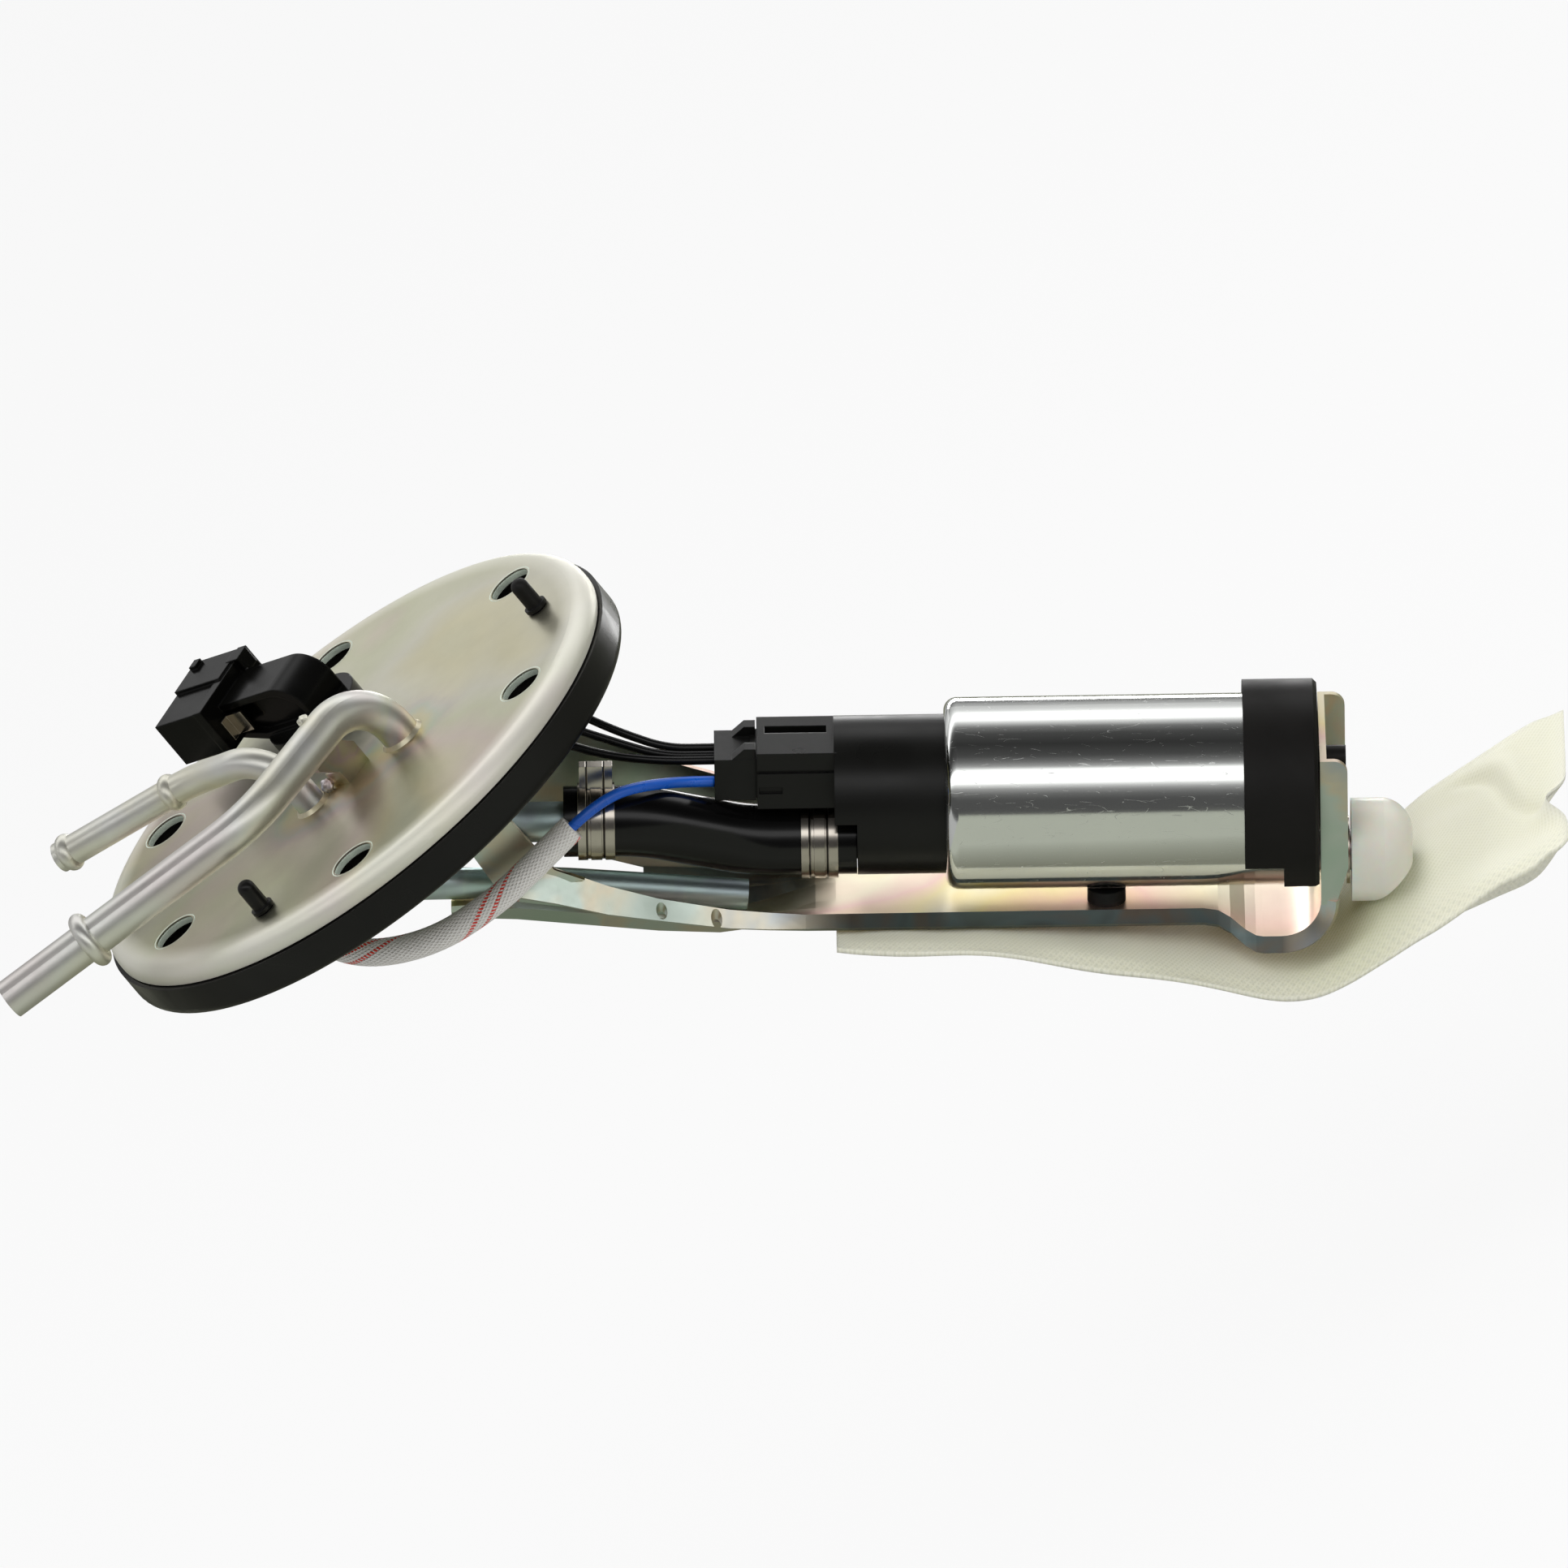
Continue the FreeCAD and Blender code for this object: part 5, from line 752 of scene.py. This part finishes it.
def sock_wrinkle(place, across, side):
    """Soft folds where the bag turns up, its rise to the neck, and a slow unevenness."""
    bend = bell(place, 203.0, 16.0)
    ripple = noise.noise(Vector((place * 0.05, across * 0.09, side * 3.0)))
    fold = 0.9 * bend * ripple
    dent = -0.9 * bell(place, 221.0 - across * 0.12, 5.0) * bell(across, 13.0, 6.0)
    general = 0.3 * noise.noise(Vector((place * 0.10, across * 0.12, 7.0 + side)))
    pinch = crease(place, across) if side > 0 else 0.0
    skirt = math.exp(-1.2 * (((place - 207.0) / 9.5) ** 2 + ((across + 6.0) / 10.5) ** 2))
    pinch += 5.5 * skirt if side > 0 else 0.0
    return fold + dent * side + general + pinch


SOCK_START, SOCK_END = SOCK_STATIONS[0][0], SOCK_STATIONS[-1][0]
SOCK_EDGE = 0.45        # half the thickness of the sealed edge
SIDE_SEAM = 3.2         # how far the seal reaches in from the sides
END_SEAM = 4.0          # and from the ends
NOTCH_START = 228.0     # where the far end's notch begins to draw the bag in


def sock_point(place, station, side, share):
    """A point of the bag's upper (1) or lower (-1) side, with its UV.

    `share` runs from -1 at the near edge to 1 at the far one, and `station` holds the numbers
    of smooth_station at this place.
    """
    height, thick, tilt, half = station
    lean = math.radians(tilt)
    near_end = max(0.0, (place - NOTCH_START) / (SOCK_END - NOTCH_START))
    across = share * half
    seam = min(1.0, max(0.0, (1 - abs(share)) * half / SIDE_SEAM))
    body = math.cos(math.pi / 2 * min(1.0, abs(share) * 1.02)) ** 0.8
    end_seam = min(1.0, (place - SOCK_START) / END_SEAM, (SOCK_END - place) / END_SEAM)
    rise = max(SOCK_EDGE * 0.9, SOCK_EDGE + (thick / 2 - SOCK_EDGE) * body * seam)
    inner = seam * max(0.0, end_seam)
    lift = sock_wrinkle(place, across, side) * inner
    wave = 0.5 * math.sin(place * 0.16) * (1 - seam) * abs(share)
    notch = -4.2 * near_end ** 2 * bell(across, -8.0, 4.5)
    belly = 4.6 * ease(place, 213.0, 230.0) * ease(-place, -242.0, -236.0)
    edge_lift = belly * ease(-share, 0.35, 1.0)
    if side > 0:
        up = rise + lift + wave + edge_lift
    else:
        sag = belly * ease(1 + share, 0.0, 0.16) * ease(-share, 0.1, 0.7)
        up = -rise + lift + wave + edge_lift - sag * 1.15
    y = across * math.cos(lean) - up * math.sin(lean)
    z = height + across * math.sin(lean) + up * math.cos(lean)
    return pump(place + notch, y, z), (place, across)


def make_sock():
    rows, columns = 210, 60
    vertices, uvs, faces = [], [], []
    for i in range(rows + 1):
        place = SOCK_START + (SOCK_END - SOCK_START) * (i / rows)
        station = smooth_station(SOCK_STATIONS, place)
        for side in (1, -1):
            for j in range(columns + 1):
                vertex, uv = sock_point(place, station, side, -1 + 2 * j / columns)
                vertices.append(vertex)
                uvs.append(uv)
    width = columns + 1
    ring = 2 * width
    for i in range(rows):
        for side in range(2):
            for j in range(columns):
                a = i * ring + side * width + j
                quad = (a, a + 1, a + 1 + ring, a + ring)
                faces.append(quad if side == 1 else quad[::-1])
        for j, flip in ((0, False), (columns, True)):
            top = i * ring + j
            low = i * ring + width + j
            quad = (top, low, low + ring, top + ring)
            faces.append(quad[::-1] if flip else quad)
    for i, flip in ((0, True), (rows, False)):
        for j in range(columns):
            top = i * ring + j
            low = i * ring + width + j
            quad = (top, low, low + 1, top + 1)
            faces.append(quad if flip else quad[::-1])
    piece = new_piece("sock_bag", vertices, faces, "sock_mesh", uvs)
    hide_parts("strainer_sock")


# The braided sleeve and the leads

def route_points(name, points, count):
    """Points along the smooth curve that a route's corners control."""
    curve = bpy.data.curves.new(name, "CURVE")
    curve.dimensions = "3D"
    curve.resolution_u = count
    spline = curve.splines.new("NURBS")
    spline.points.add(len(points) - 1)
    for control, place in zip(spline.points, points):
        control.co = (*place, 1.0)
    spline.order_u = 3
    spline.use_endpoint_u = True
    holder = bpy.data.objects.new(name, curve)
    bpy.context.collection.objects.link(holder)
    bpy.context.view_layer.update()
    mesh = bpy.data.meshes.new_from_object(holder)
    places = [v.co.copy() for v in mesh.vertices]
    bpy.data.objects.remove(holder)
    bpy.data.curves.remove(curve)
    bpy.data.meshes.remove(mesh)
    return places


def tube_along(name, places, radius, slot, around, pitch=1.0, swell=None):
    """A closed tube round a line of points; its UV is length over pitch, and share of girth."""
    vertices, uvs, faces = [], [], []
    tangent = (places[1] - places[0]).normalized()
    side = tangent.orthogonal().normalized()
    length = 0.0
    for i, place in enumerate(places):
        if i:
            length += (place - places[i - 1]).length
        ahead = places[min(i + 1, len(places) - 1)]
        behind = places[max(i - 1, 0)]
        tangent = (ahead - behind).normalized()
        side = (side - tangent * side.dot(tangent)).normalized()
        other = tangent.cross(side)
        for j in range(around + 1):
            angle = math.tau * j / around
            reach = radius if swell is None else radius + swell(length, angle)
            vertices.append(place + (side * math.cos(angle) + other * math.sin(angle)) * reach)
            uvs.append((length / pitch, j / around))
    ring = around + 1
    for i in range(len(places) - 1):
        for j in range(around):
            a = i * ring + j
            faces.append((a, a + 1, a + 1 + ring, a + ring))
    for i, flip in ((0, True), (len(places) - 1, False)):
        loop = [i * ring + j for j in range(around)]
        faces.append(loop[::-1] if flip else loop)
    return new_piece(name, vertices, faces, slot, uvs)


SLEEVE_ROUTE = [
    row(-24.5, 1.2, -20.5), row(-27, -5.6, -23), pump(2, -17, -25.6), pump(17, -21.4, -21.0),
    pump(30, -22.6, -11.4), pump(38.6, -21.4, -3.0), pump(45.2, -19.6, 3.2),
]
SLEEVE_RADIUS = 0.00272

# From the connector through the sleeve to the plug
BLUE_ROUTE = [row(-8.4, 20, -5), row(-8.4, 20, -11), row(-22, 8, -17)] + SLEEVE_ROUTE[1:6] + [
    pump(46.4, -19.2, 4.6), pump(53, -15.6, 8.2), pump(59, -12.4, 8.6), pump(67.5, -4.6, 5.7),
    pump(73.4, -4.6, 5.6),
]
BLUE_RADIUS = 0.0011


def make_blue_lead():
    places = route_points("blue_route", BLUE_ROUTE, 24)
    piece = tube_along("blue_lead", places, BLUE_RADIUS, "wire_blue", 24)
    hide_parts("lead_blue")


def make_sleeve():
    places = route_points("sleeve_route", SLEEVE_ROUTE, 40)

    def swell(length, angle):
        """The height of the strands over the sleeve's mean radius."""
        turn = length / BRAID_PITCH * math.tau
        over = math.sin(BRAID_STRANDS * (turn + angle))
        under = math.sin(BRAID_STRANDS * (turn - angle))
        return 0.00006 * max(over, under)

    piece = tube_along("sleeve_braid", places, SLEEVE_RADIUS, "sleeve_braid", 160, BRAID_PITCH,
                       swell)
    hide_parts("sleeve")


# The rounded lips of the plate's six bolt holes, in millimetres and degrees

HOLE_COUNT = 6
HOLE_START = -27
HOLE_CIRCLE = 49.5
# Each ring's radius and height over the plate's top face
LIP_RINGS = [(4.98, 0.02), (4.78, 0.0), (4.60, -0.1), (4.50, -0.3), (4.46, -0.6), (4.46, -1.3),
             (4.50, -1.62)]


def make_hole_lips():
    metal = plain("hole_lip", (0.62, 0.70, 0.60), 0.35, 0.34, 0.46, 220.0, 900.0, 0.05, 0.2)
    around = 64
    for index in range(HOLE_COUNT):
        turn = math.radians(HOLE_START + 360 // HOLE_COUNT * index)
        middle = row(HOLE_CIRCLE * math.cos(turn), HOLE_CIRCLE * math.sin(turn), 0)
        vertices, faces = [], []
        for radius, height in LIP_RINGS:
            for j in range(around):
                angle = math.tau * j / around
                vertices.append(middle + row(radius * math.cos(angle),
                                             radius * math.sin(angle), height))
        for i in range(len(LIP_RINGS) - 1):
            for j in range(around):
                k = (j + 1) % around
                faces.append((i * around + j, i * around + k, (i + 1) * around + k,
                              (i + 1) * around + j))
        lip = new_piece(f"hole_lip_{index}", vertices, faces, "zinc_plate")
        lip.data.materials[0] = metal.material


# Drops of weld left on the feed tube and between the stay and the return tube

def make_weld_drop(name, place, reach, seed):
    """An uneven drop that reaches so many millimetres along each axis."""
    mesh = bpy.data.meshes.new(name)
    ball = bmesh.new()
    bmesh.ops.create_icosphere(ball, subdivisions=4, radius=1.0)
    for vertex in ball.verts:
        way = vertex.co.normalized()
        bump = 1 + 0.35 * noise.noise(way * 1.7 + Vector((seed, 0, 0)))
        vertex.co = place + Vector([way[i] * reach[i] for i in range(3)]) * bump * MM
    ball.to_mesh(mesh)
    ball.free()
    for polygon in mesh.polygons:
        polygon.use_smooth = True
    mesh.materials.append(MATERIALS["tube_steel"])
    piece = bpy.data.objects.new(name, mesh)
    bpy.context.collection.objects.link(piece)
    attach(piece, "frame")


def make_weld_drops():
    make_weld_drop("weld_drop_feed", row(3.9, -18.0, 17.9), (1.2, 1.4, 0.9), 1.0)
    make_weld_drop("weld_drop_return", row(-2.6, -11.6, 1.3), (1.3, 1.0, 1.4), 5.0)


# The floor, in metres: half its side, and how far it lies below the part
FLOOR_HALF = 6.0
FLOOR_DROP = 0.06
# How much of the floor's white the camera sees as light; the rest shows the part's shadow
FLOOR_GLOW = 0.88
# What mirrors show of the floor: two greys, from the near side of the part to its middle, where
# the darker grey is a painted shadow of the part
MIRRORED_NEAR = (-0.22, (0.47, 0.49, 0.42, 1))
MIRRORED_MIDDLE = (-0.06, (0.23, 0.235, 0.185, 1))


def make_stage():
    height = CAD_BOX[0][2] - FLOOR_DROP
    mesh = bpy.data.meshes.new("floor")
    corners = [(x * FLOOR_HALF, y * FLOOR_HALF, height)
               for x, y in ((-1, -1), (1, -1), (1, 1), (-1, 1))]
    mesh.from_pydata(corners, [], [(0, 1, 2, 3)])
    floor = bpy.data.objects.new("floor", mesh)
    bpy.context.collection.objects.link(floor)
    material = bpy.data.materials.new("floor_white")
    material.use_nodes = True
    tree = material.node_tree
    tree.nodes.clear()
    new = tree.nodes.new
    join = tree.links.new
    path = new("ShaderNodeLightPath")
    diffuse = new("ShaderNodeBsdfDiffuse")
    diffuse.inputs["Color"].default_value = (0.60, 0.60, 0.60, 1)
    glow = new("ShaderNodeEmission")
    glow.inputs["Color"].default_value = (1, 1, 1, 1)
    share = new("ShaderNodeMath")
    share.operation = "MULTIPLY"
    share.inputs[1].default_value = FLOOR_GLOW
    seen = new("ShaderNodeMixShader")
    join(path.outputs["Is Camera Ray"], share.inputs[0])
    join(share.outputs[0], seen.inputs[0])
    join(diffuse.outputs[0], seen.inputs[1])
    join(glow.outputs[0], seen.inputs[2])
    place = new("ShaderNodeTexCoord").outputs["Object"]
    split = new("ShaderNodeSeparateXYZ")
    join(place, split.inputs[0])
    # painted shadow: the floor that mirrors show darkens towards the part
    nearer = new("ShaderNodeMapRange")
    join(split.outputs[1], nearer.inputs[0])
    for index, amount in enumerate((MIRRORED_NEAR[0], MIRRORED_MIDDLE[0], 0.0, 1.0), start=1):
        nearer.inputs[index].default_value = amount
    painted_shadow_tone = new("ShaderNodeValToRGB")
    join(nearer.outputs[0], painted_shadow_tone.inputs[0])
    painted_shadow_tone.color_ramp.elements[0].color = MIRRORED_NEAR[1]
    painted_shadow_tone.color_ramp.elements[1].color = MIRRORED_MIDDLE[1]
    mirrored = new("ShaderNodeEmission")
    join(painted_shadow_tone.outputs[0], mirrored.inputs["Color"])
    mix = new("ShaderNodeMixShader")
    output = new("ShaderNodeOutputMaterial")
    join(path.outputs["Is Glossy Ray"], mix.inputs[0])
    join(seen.outputs[0], mix.inputs[1])
    join(mirrored.outputs[0], mix.inputs[2])
    join(mix.outputs[0], output.inputs["Surface"])
    mesh.materials.append(material)


make_lights()
make_world()
dress_nodes()
make_sock()
make_sleeve()
make_blue_lead()
make_hole_lips()
make_weld_drops()
make_stage()
bpy.context.scene.view_settings.view_transform = "Standard"
